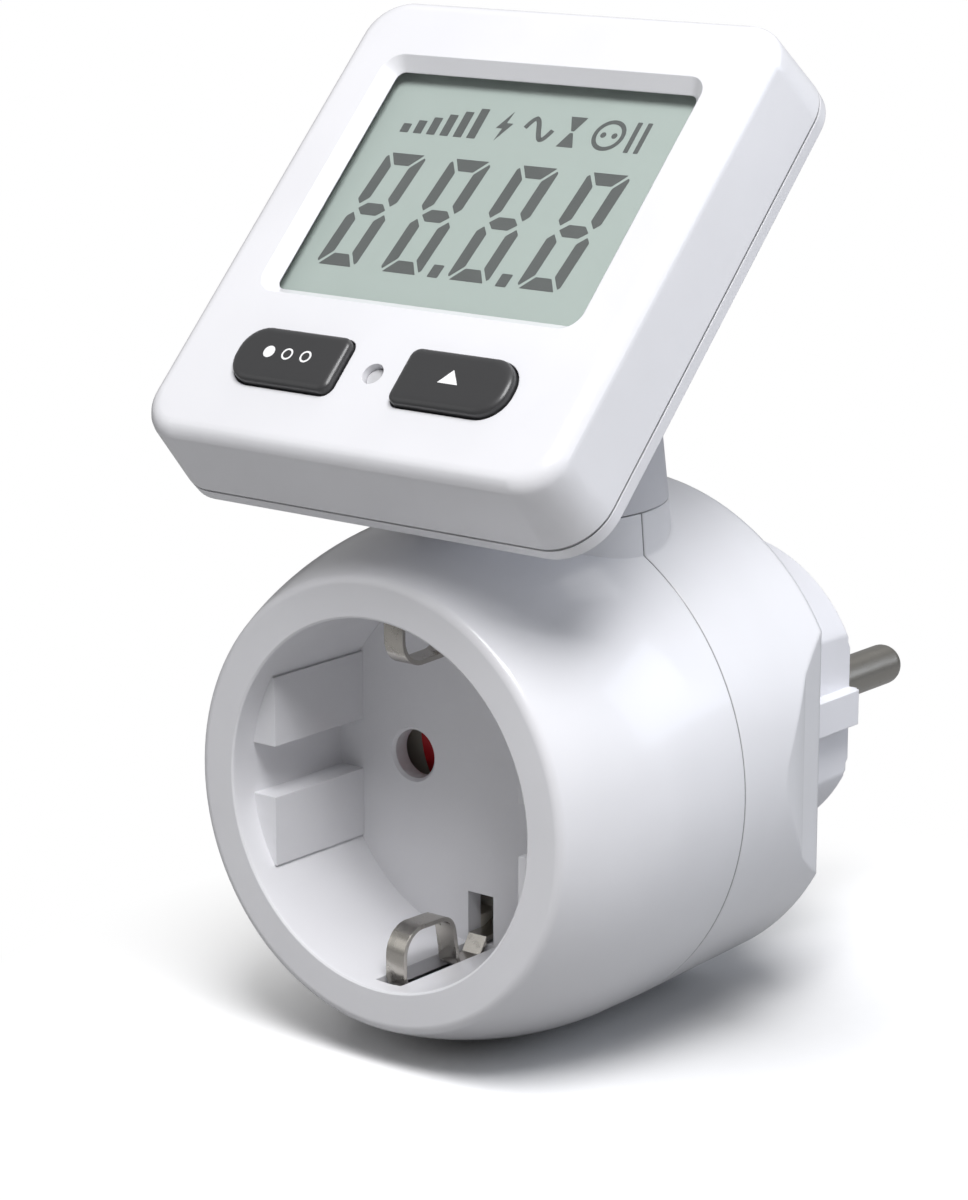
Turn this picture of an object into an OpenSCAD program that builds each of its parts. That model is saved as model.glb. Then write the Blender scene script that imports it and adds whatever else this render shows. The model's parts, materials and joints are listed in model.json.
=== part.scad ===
// Plug-in energy meter: a socket body with a plug behind it and a display head on a turning neck.
// The origin is the centre of the plug's end face. +Y points into the wall, +Z up, and the
// meter's own socket faces -Y. All sizes are millimetres.

/* [Body] */
// Depth of the body from the socket rim to the rear face
body_depth = 46; // [44:1:54]
// Largest radius of the body
body_r = 29; // [28.5:0.5:32]
// Radius of the long arc that draws the body in towards the rim
belly_r = 46; // [42:1:60]
// Distance behind the rim at which the body reaches its full radius
belly_at = 20; // [17:1:22]
// Radius of the rim's rounded outer edge
rim_fillet = 1.3; // [0.8:0.1:2]
// Loss of radius from the joint between the covers to the rear face
rear_taper = 0.5; // [0.2:0.1:1]
// Wall thickness of both covers
wall = 2.2; // [1.8:0.1:2.4]
// Depth of the rear cover
rear_depth = 20; // [19:0.5:21]
// Size of the hairline chamfer along the joint between the covers
seam = 0.12; // [0.08:0.01:0.2]
// Half width of the rear face between its two side flats
flat_half = 24.9; // [24.4:0.1:25.6]
// Half width where the flats begin
shoulder_half = 26.7; // [26.4:0.1:27.2]
// Length of the side flats along the axis
flat_len = 5.6; // [4:0.2:7]

/* [Socket] */
// Radius of the round recess
recess_r = 20; // [19.75:0.05:20.25]
// Depth of the recess
recess_depth = 17.7; // [17.5:0.1:18.5]
// Wall of the recess
cup_wall = 1.6; // [1.2:0.1:2]
// Thickness of the recess floor
floor_t = 2.2; // [1.8:0.1:2.6]
// Distance of each pin from the axis
pin_offset = 9.5; // [9.5:0.5:9.5]
// Radius of the pin holes in the floor
pin_hole_r = 2.75; // [2.6:0.05:3]
// Distance of the guide ribs' flats from the axis
guide_half = 16.65; // [16.5:0.05:17]
// Half height of the groove between an upper and a lower guide rib
guide_gap_half = 2.85; // [2.6:0.05:3.2]
// Half height over a pair of guide ribs
guide_outer_half = 10.55; // [10:0.05:11]
// Distance of the guide ribs' front ends behind the rim
guide_start = 3.1; // [2.5:0.1:5]

/* [Plug] */
// Length of the plug behind the rear face
plug_reach = 19.4; // [18:0.2:21]
// Radius of the plug
plug_r = 18.2; // [17.8:0.1:18.5]
// Half width over the plug's side flats
plug_flat_half = 16.1; // [15.8:0.1:16.5]
// Half height of the guide rib on each side flat
plug_rib_half = 2; // [1.8:0.1:2.3]
// Radius of a plug pin
pin_r = 2.4; // [2.4:0.1:2.4]
// Length of a plug pin beyond the plug's end face
pin_len = 19; // [18:0.5:20]

/* [Earth contacts] */
// Width of the spring strip
clip_w = 2.5; // [2:0.1:3]
// Thickness of the spring strip
clip_t = 0.5; // [0.4:0.05:0.6]
// Distance of the arch's top from the axis
clip_top = 14.3; // [13.8:0.1:15]
// Distance of the arch's front leg behind the rim
clip_front = 3.4; // [3:0.1:4]
// Length of the arch
clip_len = 8.8; // [8:0.1:9.6]
// Width of the slots that the strips pass through
earth_slot_w = 3.5; // [3.2:0.1:4]
// Distance of the floor slots' inner ends from the axis
earth_slot_in = 14.1; // [13.4:0.1:14.6]

/* [Neck] */
// Radius of the neck at its foot, level with the top of the body
neck_r = 15.1; // [14.8:0.1:16]
// Draft angle of the neck
neck_draft = 5; // [3:0.5:6]
// Wall thickness of the neck
neck_wall = 2.2; // [1.8:0.1:2.4]
// Gap under the neck's shoulder and around its turning parts
turn_gap = 0.15; // [0.1:0.01:0.25]
// Radius of the spigot that turns in the collar
spigot_r = 12.65; // [12.4:0.05:12.8]
// Radius of the flange that holds the neck in
flange_r = 14; // [13.8:0.05:14.2]
// Height of the tilt axis above the body's axis
hinge_z = 43.75; // [43:0.25:47]
// Width over the knuckle between the two ears
knuckle_w = 24; // [22:0.5:24.5]
// Thickness of each ear
ear_t = 3; // [2.5:0.1:3.4]
// Radius of a hinge pin
hinge_pin_r = 1.5; // [1.2:0.1:1.8]

/* [Display head] */
// Lean of the display from upright
head_tilt = 44.25; // [42:0.25:48]
// How much further upright the head can be pulled
tilt_up = 5; // [2:1:5]
// Width of the head's front face
head_w = 54.7; // [54:0.1:58]
// Height of the head's front face
head_h = 58.8; // [58:0.1:62]
// Corner radius of the front face
head_corner = 5; // [4.5:0.25:7]
// Growth of the outline on each side from the front face to the joint
head_draft = 0.9; // [0.5:0.1:1.2]
// Radius of the front face's rounded edge
face_fillet = 1.8; // [1.2:0.1:2]
// Depth of the front shell
front_shell_d = 9.75; // [9.5:0.05:11]
// Depth of the back shell
back_shell_d = 4.85; // [4.4:0.05:5.6]
// Depth of the back shell's upright rim
back_rim = 1.4; // [1:0.1:2]
// How far the back slopes in behind its rim
back_slope = 5.4; // [4:0.1:5.6]
// Wall thickness of the head's shells
shell_wall = 2; // [1.6:0.1:2.2]
// Distance of the tilt axis below the middle of the face, along the face
hinge_down = 2.5; // [2:0.1:4]
// Distance of the tilt axis behind the back of the head
hinge_back = 5.4; // [5.2:0.1:6]

/* [Display] */
// Width of the visible glass
glass_w = 39.9; // [39.5:0.1:41]
// Height of the visible glass
glass_h = 29.5; // [29:0.1:31]
// Height of the glass's middle above the middle of the face
glass_up = 5.45; // [5:0.05:6]
// Depth of the bevel round the glass
bevel_d = 1.5; // [1.2:0.1:1.6]
// Width of the bevel round the glass
bevel_w = 1.4; // [0.8:0.1:1.6]
// Thickness of the clear window
window_t = 1.2; // [1:0.1:1.5]
// Thickness of the liquid crystal panel
lcd_t = 2.8; // [2.2:0.1:3]
// Thickness of the circuit boards
board_t = 1.6; // [1.2:0.1:1.6]

/* [Buttons] */
// Length of each of the two large buttons
button_l = 14.1; // [13:0.1:15]
// Height of the large buttons along the face
button_h = 6.8; // [6.4:0.1:7.6]
// Distance from the middle of the face to a button's inner end
button_in = 4; // [3.5:0.05:4.5]
// Distance of the buttons below the middle of the face
button_down = 18.95; // [18.6:0.05:19.4]
// How far the buttons stand above the face
button_rise = 1; // [0.6:0.1:1.2]
// Gap round a button in its hole
button_gap = 0.2; // [0.12:0.01:0.3]
// How far a button can be pressed
button_travel = 0.6; // [0.4:0.1:0.7]
// Radius of the reset hole
reset_hole_r = 1.25; // [1:0.05:1.4]

/* [Child shutter] */
// Outer radius of the shutter's wings
wing_r = 10.9; // [10.6:0.1:12.4]
// Half angle of a wing
wing_half_angle = 19; // [18:0.5:20]
// Turn of the shutter from shut to open
shutter_turn = 40; // [39:0.5:42]

/* [Hidden] */
$fn = 96;
// Overlap that keeps cuts clean
eps = 0.02;
// Excess of a cutting block past what it cuts
over = 60;

// Stations along Y
rim_y = -(body_depth + plug_reach);
cover_split = body_depth - rear_depth;
split_y = rim_y + cover_split;
rear_y = -plug_reach;
floor_y = rim_y + recess_depth;
floor_back_y = floor_y + floor_t;

// Fits and clearances
fit_gap = 0.1;
seat_gap = 0.2;

// Covers
belly_c = body_r - belly_r;
fillet_c = belly_c + sqrt(pow(belly_r - rim_fillet, 2) - pow(belly_at - rim_fillet, 2));
fillet_end = atan2(rim_fillet - belly_at, fillet_c - belly_c);
inner_r = body_r - wall;
cup_out_r = recess_r + cup_wall;
lip_w = 0.3;
rear_r = body_r - rear_taper;
tongue_t = 1.1;
tongue_len = 1.8;
arc_steps = 14;
fillet_steps = 5;

// Collar that the neck turns in
collar_low = cup_out_r + 0.6;
collar_h = body_r - collar_low;
collar_groove_low = collar_low + collar_h * 9 / 34;
collar_groove_high = body_r - collar_h * 13 / 34;
collar_bore_r = spigot_r + turn_gap;
collar_groove_r = flange_r + turn_gap + 0.05;
lug_half_angle = 5;
lug_w = 1.1;
stop_back = 1.4;

// Cover screws
screw_x = 15.4;
screw_z = 18.2;
screw_r = 1.25;
screw_head_r = 2.5;
screw_head_t = 2;
screw_len = 20;
screw_sink = 6;
boss_r = 3;
tunnel_wall = 0.9;

// Plug
plug_wall = 5;
plug_flange_r = plug_r + 1.7;
plug_flange_t = 2.2;
plug_pocket_r = plug_r - 3;
plug_edge = 0.8;
pin_boss_r = pin_r + 2;
pin_boss_len = 7;
pin_collar_r = pin_r + 0.9;
pin_collar_t = 1.2;
pin_tip_r = 1.9;
pin_shank_r = pin_r + 0.3;
plug_flange_y = rear_y - wall - plug_flange_t;
pocket_y = -plug_wall;
pin_seat_y = pocket_y - pin_boss_len;
pin_back_y = pin_seat_y - pin_collar_t;
strip_w = 5;
strip_t = 0.8;
strip_in = 16.5;
strip_groove_w = strip_w + 2 * seat_gap;
strip_end_y = -3.6;
strip_start_y = split_y + 5;

// Contact block behind the recess floor
chamber_d = 2.8;
block_y = floor_back_y + chamber_d;
block_t = 2;
block_r = 20.5;
block_rim_t = 3;
block_back_y = block_y + block_t;
tower_half = 4.7;
tower_wall = 1.1;
board_back_gap = 2.1;
board_y = plug_flange_y - board_back_gap - board_t;
tower_len = board_y - block_back_y;
spindle_r = 1.5;
spring_r = 3.1;
spring_wire_r = 0.2;
spring_turns = 4;
spring_well_r = spring_r + 0.9;
spring_well_d = 3;
peg_r = 0.9;
peg_at = 9;
hub_r = 3.7;
shutter_t = chamber_d - 0.5;

// Contacts
contact_r = 3.05;
contact_bore_r = 2.44;
contact_y = block_back_y + 0.8;
contact_len = tower_len - 2;
contact_tail_t = 0.8;
contact_tail_w = 3;

// Tail of an earth clip behind the floor, and the eye that lets the lead through
tail_z = strip_in + strip_t;
tail_end_y = split_y + 9;
tail_start_y = floor_back_y + chamber_d;
eye_r = 3.8;
eye_hole_r = 2.1;

// Main board and what it carries
board_r = inner_r - 1.8;
board_half = board_r - 1.8;
board_back_y = board_y + board_t;
part_gap = 0.1;
part_len = tower_len - 3.2;
side_part_x = board_half - 3.8;
film_w = 6;
film_h = 13;
can_r = 3.15;
can_z = 5.5;
disc_r = 4;
disc_t = 3.2;
disc_z = -5.5;
disc_lead_r = 0.4;
disc_lead_at = 2;
chip_t = 1.4;
chip_w = 8;
chip_h = 5;
chip_x = -9;
chip_z = 12.5;

// Neck
hinge_y = split_y;
shoulder_z = body_r + turn_gap;
neck_top = hinge_z + 4.4;
neck_front = 4.5;
neck_edge = 3.2;
ear_r = 5.3;
ear_gap = 0.3;
ledge_z = hinge_z - ear_r - ear_gap;
knuckle_half = knuckle_w / 2;
tan_draft = tan(neck_draft);
lead_r = 1.4;
lead_bend = 1.75;
lead_low_z = 12;
lead_slot_half = 1.9;
hinge_run = 0.05;
pin_inner = 7;

// Head, in its own frame: X across, Y up the face, Z out of the face
head_d = front_shell_d + back_shell_d;
joint_w = head_w + 2 * head_draft;
joint_h = head_h + 2 * head_draft;
joint_r = head_corner + head_draft;
hinge_w = -(head_d + hinge_back);
back_z = -head_d;
plate_t = shell_wall;
reveal = 0.25;
reveal_d = 0.5;
head_screw_x = joint_w / 2 - 4.6;
head_screw_y = joint_h / 2 - 4.7;
head_boss_r = 2.4;
head_screw_r = 1.1;
head_screw_head_r = 2.1;
head_screw_head_t = 1.3;
window_z = -bevel_d;
window_margin = 1.6;
lcd_z = window_z - window_t;
lcd_w = glass_w + 2.6;
lcd_h = glass_h + 3.4;
strip_h = 2.6;
display_board_z = lcd_z - lcd_t - strip_h;
display_board_w = joint_w - 2 * shell_wall - 3.2;
display_board_h = joint_h - 2 * shell_wall - 3.2;
button_flange = 0.7;
button_flange_t = 0.9;
button_mid = button_in + button_l / 2;
flange_z = -plate_t - 0.05;
switch_h = 3.5;
switch_half = 3;
plunger_h = 0.6;
reset_y = -button_down;
reset_sink = 0.8;
reset_r = reset_hole_r - 0.12;
stem_z = display_board_z + switch_h + plunger_h + button_travel + 0.05;
button_corner = 1.15;
button_edge = 0.9;
glass_corner = 1;
window_corner = 1.5;
joint_z = -front_shell_d - reveal;
head_screw_sink = 1.9;
lcd_gap = 0.15;
driver_w = 10;
driver_h = 8;
driver_t = 1.3;
driver_up = 10;

// Colours
white = [0.93, 0.93, 0.94];
shade = [0.8, 0.8, 0.81];
steel = [0.72, 0.72, 0.7];
nickel = [0.62, 0.61, 0.58];
brass = [0.8, 0.65, 0.3];
copper = [0.78, 0.45, 0.3];
board_green = [0.12, 0.4, 0.22];
black = [0.1, 0.1, 0.11];
cream = [0.88, 0.85, 0.75];
signal_red = [0.75, 0.05, 0.08];
lcd_green = [0.71, 0.76, 0.73];

// Points of an arc round [cx, cy] from angle a to angle b
function arc(cx, cy, r, a, b, n) =
    [for (i = [0:n]) let (t = a + (b - a) * i / n) [cx + r * cos(t), cy + r * sin(t)]];

// Left side of a ribbon of thickness t along a path, by the mean of the two directions that
// meet at each point
function unit(v) = v / norm(v);
function heading(p, i) = unit(
    (i > 0 ? unit(p[i] - p[i - 1]) : [0, 0]) + (i < len(p) - 1 ? unit(p[i + 1] - p[i]) : [0, 0]));
function side(p, d) = [for (i = [0:len(p) - 1]) let (h = heading(p, i)) p[i] + d * [-h[1], h[0]]];
function backwards(p) = [for (i = [len(p) - 1:-1:0]) p[i]];
function ribbon(p, t) = concat(side(p, t / 2), backwards(side(p, -t / 2)));

// Turns a profile of [radius, distance] round the Y axis, with distance 0 at y0
module turn_y(y0, angle = 360) {
    translate([0, y0, 0]) rotate([-90, 0, 0]) rotate_extrude(angle = angle) children();
}

// Extrudes a shape drawn as [x, z] from y0 along +Y
module prism_y(y0, length) {
    translate([0, y0 + length, 0]) rotate([90, 0, 0]) linear_extrude(length) children();
}

// Extrudes a shape drawn as [y, z] across X, centred on x = 0
module prism_x(width) {
    rotate([90, 0, 90]) translate([0, 0, -width / 2]) linear_extrude(width) children();
}

// Rod of radius r along +Y
module rod_y(x, y, z, r, length) {
    translate([x, y, z]) rotate([-90, 0, 0]) cylinder(h = length, r = r);
}

// Rod of radius r across X from x0 to x1
module rod_x(x0, x1, y, z, r) {
    translate([x0, y, z]) rotate([0, 90, 0]) cylinder(h = x1 - x0, r = r);
}

module block(lo, hi) {
    translate(lo) cube(hi - lo);
}

// Block with rounded corners whose sides follow a profile of [inset, z] points, upwards. It
// reaches from x = left to x = right and half to each side in Y.
module softened(left, right, half, r_left, r_right, profile) {
    last = len(profile) - 1;
    function mirrored(a, b) = concat(
        [for (p = profile) [b - p[0], p[1]]], [for (i = [last:-1:0]) [a + profile[i][0], profile[i][1]]]);
    translate([left + r_left, 0, 0]) rotate([90, 0, 90])
        linear_extrude(right - left - r_left - r_right) polygon(mirrored(-half, half));
    for (end = [-1, 1]) {
        r = end < 0 ? r_left : r_right;
        x = end < 0 ? left + r_left : right - r_right;
        rotate([90, 0, 0]) linear_extrude(2 * (half - r), center = true) polygon(concat(
            [[x - end, profile[0][1]]], [for (p = profile) [x + end * (r - p[0]), p[1]]],
            [[x - end, profile[last][1]]]));
        for (sy = [-1, 1]) translate([x, sy * (half - r), 0])
            rotate([0, 0, end > 0 ? (sy > 0 ? 0 : -90) : (sy > 0 ? 90 : 180)]) rotate_extrude(angle = 90)
                polygon(concat([[0, profile[0][1]]], [for (p = profile) [r - p[0], p[1]]],
                    [[0, profile[last][1]]]));
    }
}

module soft_box(w, h, r, profile) {
    softened(-w / 2, w / 2, h / 2, r, r, profile);
}

// Copies at the four corners x, z of the cover screws
module at_screws() {
    for (x = [-screw_x, screw_x], z = [-screw_z, screw_z]) translate([x, 0, z]) children();
}

// Places the head's own frame on the tilt axis
module head_frame() {
    translate([0, hinge_y, hinge_z]) rotate([90 - head_tilt, 0, 0])
        translate([0, hinge_down, -hinge_w]) children();
}

module collar_hollow(with_lip) {
    groove_low = with_lip ? collar_groove_low : collar_low - 1;
    translate([0, split_y, collar_low - 1]) cylinder(h = over, r = collar_bore_r);
    translate([0, split_y, groove_low]) cylinder(h = collar_groove_high - groove_low, r = collar_groove_r);
}

// Front cover: rounded rim, round recess with guide ribs, and the front half of the collar
module front_skin() {
    polygon(concat(
        [[0, 0]],
        arc(fillet_c, rim_fillet, rim_fillet, -90, fillet_end, fillet_steps),
        arc(belly_c, belly_at, belly_r, fillet_end, 0, arc_steps),
        [[body_r, cover_split - seam], [body_r - seam, cover_split], [0, cover_split]]));
}

module front_hollow() {
    inner_start = asin((wall - belly_at) / (belly_r - wall));
    polygon(concat(
        [[cup_out_r, wall]],
        arc(belly_c, belly_at, belly_r - wall, inner_start, 0, arc_steps),
        [[inner_r, cover_split + 1], [0, cover_split + 1]],
        [[0, recess_depth + floor_t], [cup_out_r, recess_depth + floor_t]]));
}

module recess_profile() {
    polygon([[0, -1], [recess_r + lip_w, -1], [recess_r + lip_w, 0], [recess_r + lip_w / 3, lip_w / 2],
        [recess_r, 2 * lip_w], [recess_r, recess_depth], [0, recess_depth]]);
}

module tongue_profile() {
    polygon([[inner_r - tongue_t, cover_split - 3], [inner_r + 0.3, cover_split - 3],
        [inner_r + 0.3, cover_split], [inner_r - fit_gap, cover_split],
        [inner_r - fit_gap, cover_split + tongue_len], [inner_r - tongue_t, cover_split + tongue_len]]);
}

module guide_ribs() {
    intersection() {
        rod_y(0, rim_y + guide_start, 0, recess_r + cup_wall / 2, recess_depth - guide_start + floor_t / 2);
        for (sx = [-1, 1], sz = [-1, 1]) {
            x0 = sx > 0 ? guide_half : -over;
            z0 = sz > 0 ? guide_gap_half : -guide_outer_half;
            translate([x0, rim_y, z0])
                cube([over - guide_half, over, guide_outer_half - guide_gap_half]);
        }
    }
}

// Slots for the earth clips, through the recess wall and up the floor, on top and below
module earth_slots() {
    for (sz = [-1, 1]) {
        wall_z = sz > 0 ? recess_r - 1.2 : -cup_out_r - over / 20;
        block([-earth_slot_w / 2, rim_y + clip_front - 1.4, wall_z],
            [earth_slot_w / 2, floor_y, wall_z + 1.2 + cup_wall + over / 20]);
        floor_z = sz > 0 ? earth_slot_in : -recess_r + 0.4;
        block([-earth_slot_w / 2, floor_y - 1, floor_z],
            [earth_slot_w / 2, floor_back_y + 1, floor_z + recess_r - 0.4 - earth_slot_in]);
    }
}

module front_cover() {
    color(white) difference() {
        union() {
            difference() {
                union() {
                    turn_y(rim_y) difference() {
                        front_skin();
                        front_hollow();
                        recess_profile();
                    }
                    difference() {
                        turn_y(rim_y) tongue_profile();
                        rear_collar(fit_gap);
                        at_screws() rod_y(0, split_y, 0, boss_r + seat_gap, over);
                    }
                    guide_ribs();
                    front_collar();
                }
                // The collar's filling stays out of the recess
                turn_y(rim_y) recess_core();
            }
            guide_ribs();
            intersection() {
                at_screws() front_boss();
                turn_y(rim_y) front_skin();
            }
        }
        collar_hollow(false);
        collar_seam();
        earth_slots();
        for (x = [-pin_offset, pin_offset]) pin_entry(x);
        at_screws() rod_y(0, split_y - screw_len / 2, 0, screw_r + 0.05, screw_len);
    }
}

module front_collar() {
    intersection() {
        translate([0, split_y, collar_low])
            cylinder(h = body_r - collar_low, r1 = neck_r + (body_r - collar_low) * tan_draft, r2 = neck_r);
        block([-over, rim_y, 0], [over, split_y, over]);
    }
}

// Hairline groove down both sides of the collar, where its halves meet
module collar_seam() {
    for (sx = [-1, 1]) translate([sx * neck_r, split_y, body_r]) rotate([0, -sx * neck_draft, 0])
        rotate([0, 0, 45]) cube([sqrt(2) * seam, sqrt(2) * seam, 2 * collar_h], center = true);
}

module recess_core() {
    polygon([[0, guide_start - 1], [recess_r - eps, guide_start - 1], [recess_r - eps, recess_depth],
        [0, recess_depth]]);
}

module front_boss() {
    rod_y(0, floor_back_y - 4, 0, boss_r - 0.3, split_y - floor_back_y + 4);
}

module pin_entry(x) {
    rod_y(x, floor_y - 1, 0, pin_hole_r, floor_t + 2);
    translate([x, floor_y - eps, 0]) rotate([-90, 0, 0])
        cylinder(h = 0.4, r1 = pin_hole_r + 0.35, r2 = pin_hole_r - eps);
}

// Rear cover: tapered shell with two side flats, open for the plug
module side_outline(inset) {
    lead_in = 10;
    x_wide = body_r + 3;
    shoulder = shoulder_half - inset;
    bow_r = (pow(lead_in, 2) + pow(body_r + 0.1 - shoulder_half, 2)) / (2 * (body_r + 0.1 - shoulder_half));
    bow_end = asin(lead_in / bow_r);
    bow = arc(body_r + 0.1 - inset - bow_r, split_y + body_depth - cover_split - flat_len - lead_in,
        bow_r, 0, bow_end, 10);
    right = concat([[x_wide, split_y - 5]], [[x_wide, bow[0][1] - 2]], bow,
        [[flat_half - inset, rear_y + eps], [flat_half - inset, rear_y + 5]]);
    polygon(concat(right, backwards([for (p = right) [-p[0], p[1]]])));
}

module rear_shell(inset, y0, y1) {
    intersection() {
        translate([0, split_y, 0]) rotate([-90, 0, 0])
            cylinder(h = rear_y - split_y, r1 = body_r - inset, r2 = rear_r - inset);
        translate([0, split_y, 0]) rotate([-90, 0, 0])
            cylinder(h = rear_y - split_y, r1 = body_r - seam, r2 = body_r - seam + rear_y - split_y);
        block([-over, y0, -over], [over, y1, over]);
        translate([0, 0, -over]) linear_extrude(2 * over) side_outline(inset);
    }
}

module rear_cover() {
    color(white) difference() {
        union() {
            difference() {
                rear_shell(0, split_y, rear_y);
                rear_shell(wall, split_y - 1, rear_y - wall);
            }
            rear_collar(0);
            intersection() {
                at_screws() rear_boss();
                rear_shell(wall / 2, split_y, rear_y);
            }
        }
        collar_hollow(true);
        collar_seam();
        // Room for the stop lug, between the two ends of the lower lip
        intersection() {
            translate([0, split_y, collar_low - 1])
                cylinder(h = collar_groove_high - collar_low, r = collar_groove_r);
            block([-over, split_y - 1, 0], [over, split_y + stop_back, over]);
        }
        rod_y(0, rear_y - wall - 1, 0, plug_r + fit_gap, wall + 2);
        at_screws() {
            rod_y(0, split_y - 1, 0, screw_r + 0.3, over);
            rod_y(0, rear_y - screw_sink, 0, screw_head_r + 0.3, screw_sink + 1);
        }
    }
}

// Rear half of the collar's filling, grown by a margin
module rear_collar(grow) {
    intersection() {
        translate([0, split_y, collar_low - grow])
            cylinder(h = body_r - collar_low + grow, r1 = neck_r + (body_r - collar_low) * tan_draft + grow,
                r2 = neck_r + grow);
        block([-over, split_y, 0], [over, rear_y, over]);
    }
}

module rear_boss() {
    rod_y(0, split_y + seat_gap, 0, boss_r, rear_y - split_y - seat_gap);
    rod_y(0, rear_y - screw_sink - 1.6, 0, screw_head_r + 0.3 + tunnel_wall, screw_sink + 1.6);
}

module cover_screws() {
    color(steel) at_screws() {
        rod_y(0, rear_y - screw_sink - screw_len, 0, screw_r, screw_len);
        translate([0, rear_y - screw_sink, 0]) rotate([-90, 0, 0]) difference() {
            cylinder(h = screw_head_t, r = screw_head_r);
            for (a = [0, 90]) rotate([0, 0, a])
                translate([-screw_head_r * 0.6, -0.3, screw_head_t - 0.9]) cube([screw_head_r * 1.2, 0.6, 1]);
        }
    }
}

// Plug: round body with side flats, guide ribs and grooves for the earth strips
module plug_section(r) {
    intersection() {
        circle(r);
        union() {
            square([2 * plug_flat_half, 2 * r], center = true);
            square([2 * r - 0.5, 2 * plug_rib_half], center = true);
        }
    }
}

module plug_body() {
    color(white) difference() {
        union() {
            prism_y(plug_flange_y + plug_flange_t, -plug_flange_y - plug_flange_t - plug_edge)
                plug_section(plug_r);
            prism_y(-plug_edge - eps, plug_edge / 2 + eps) plug_section(plug_r - plug_edge / 3);
            prism_y(-plug_edge / 2 - eps, plug_edge / 2 + eps) plug_section(plug_r - plug_edge);
            rod_y(0, plug_flange_y, 0, plug_flange_r, plug_flange_t);
        }
        difference() {
            rod_y(0, plug_flange_y - 1, 0, plug_pocket_r, pocket_y - plug_flange_y + 1);
            for (x = [-pin_offset, pin_offset]) rod_y(x, pin_seat_y, 0, pin_boss_r, pin_boss_len + 1);
        }
        for (x = [-pin_offset, pin_offset]) rod_y(x, pin_seat_y - 1, 0, pin_shank_r, over);
        for (sz = [-1, 1]) {
            z0 = sz > 0 ? strip_in - seat_gap / 2 : -plug_flange_r - 1;
            block([-strip_groove_w / 2, plug_flange_y - 1, z0],
                [strip_groove_w / 2, strip_end_y + seat_gap, z0 + plug_flange_r + 1 - strip_in + seat_gap / 2]);
        }
    }
}

// Pin with a rounded tip, a thicker shank in the plug and a collar behind the plug's end wall
module plug_pin(x) {
    translate([x, pin_back_y, 0]) rotate([-90, 0, 0]) rotate_extrude() polygon(concat(
        [[0, 0], [pin_collar_r, 0], [pin_collar_r, pin_collar_t], [pin_shank_r, pin_collar_t]],
        [[pin_shank_r, -pin_back_y], [pin_r, -pin_back_y]],
        arc(pin_r - pin_tip_r, pin_len - pin_back_y - pin_tip_r, pin_tip_r, 0, 90, 8),
        [[0, pin_len - pin_back_y]]));
}

module live_pin() {
    color(nickel) plug_pin(-pin_offset);
}

module neutral_pin() {
    color(nickel) plug_pin(pin_offset);
}

// Earth clip: an arch that stands up in the recess, a run along the slot, and a tail behind the
// floor. The path is [y, z] with z measured away from the axis.
function clip_path() = let (
    y0 = rim_y + clip_front,
    y1 = y0 + clip_len,
    top = clip_top + clip_t / 2,
    foot = recess_r + 0.6,
    r1 = 2.9,
    r2 = 2.1)
    concat(
        [[y0 + 0.7, foot + 0.3], [y0, foot - 0.8]],
        arc(y0 + r1, top + r1, r1, -180, -90, 7),
        arc(y1 - r2 - 0.5, top + r2 + 0.1, r2, -90, -8, 6),
        [[y1, foot - 1.3]],
        arc(y1 + 1, foot - 1, 1, -180, -270, 4),
        [[floor_y - 1.6, foot], [floor_y - 0.4, recess_r - 1.2], [floor_back_y, recess_r - 1.2]],
        [[tail_start_y, tail_z + clip_t / 2], [tail_end_y, tail_z + clip_t / 2]]);

module earth_clip() {
    difference() {
        union() {
            prism_x(clip_w) polygon(ribbon(clip_path(), clip_t));
            translate([0, split_y, tail_z]) cylinder(h = clip_t, r = eye_r);
        }
        translate([0, split_y, tail_z - 1]) cylinder(h = clip_t + 2, r = eye_hole_r);
    }
}

module upper_earth_clip() {
    color(nickel) earth_clip();
}

module lower_earth_clip() {
    color(nickel) mirror([0, 0, 1]) earth_clip();
}

// Earth strip: lies in the plug's groove and runs forward to the clip's tail
module earth_strip() {
    block([-strip_w / 2, strip_start_y, strip_in], [strip_w / 2, strip_end_y, strip_in + strip_t]);
}

module upper_earth_strip() {
    color(nickel) earth_strip();
}

module lower_earth_strip() {
    color(nickel) mirror([0, 0, 1]) earth_strip();
}

// Cross strap between the two earth strips
module earth_link() {
    color(nickel) block([-strip_w / 2, board_back_y + 0.6, -strip_in],
        [strip_w / 2, board_back_y + 0.6 + strip_t, strip_in]);
}

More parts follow.
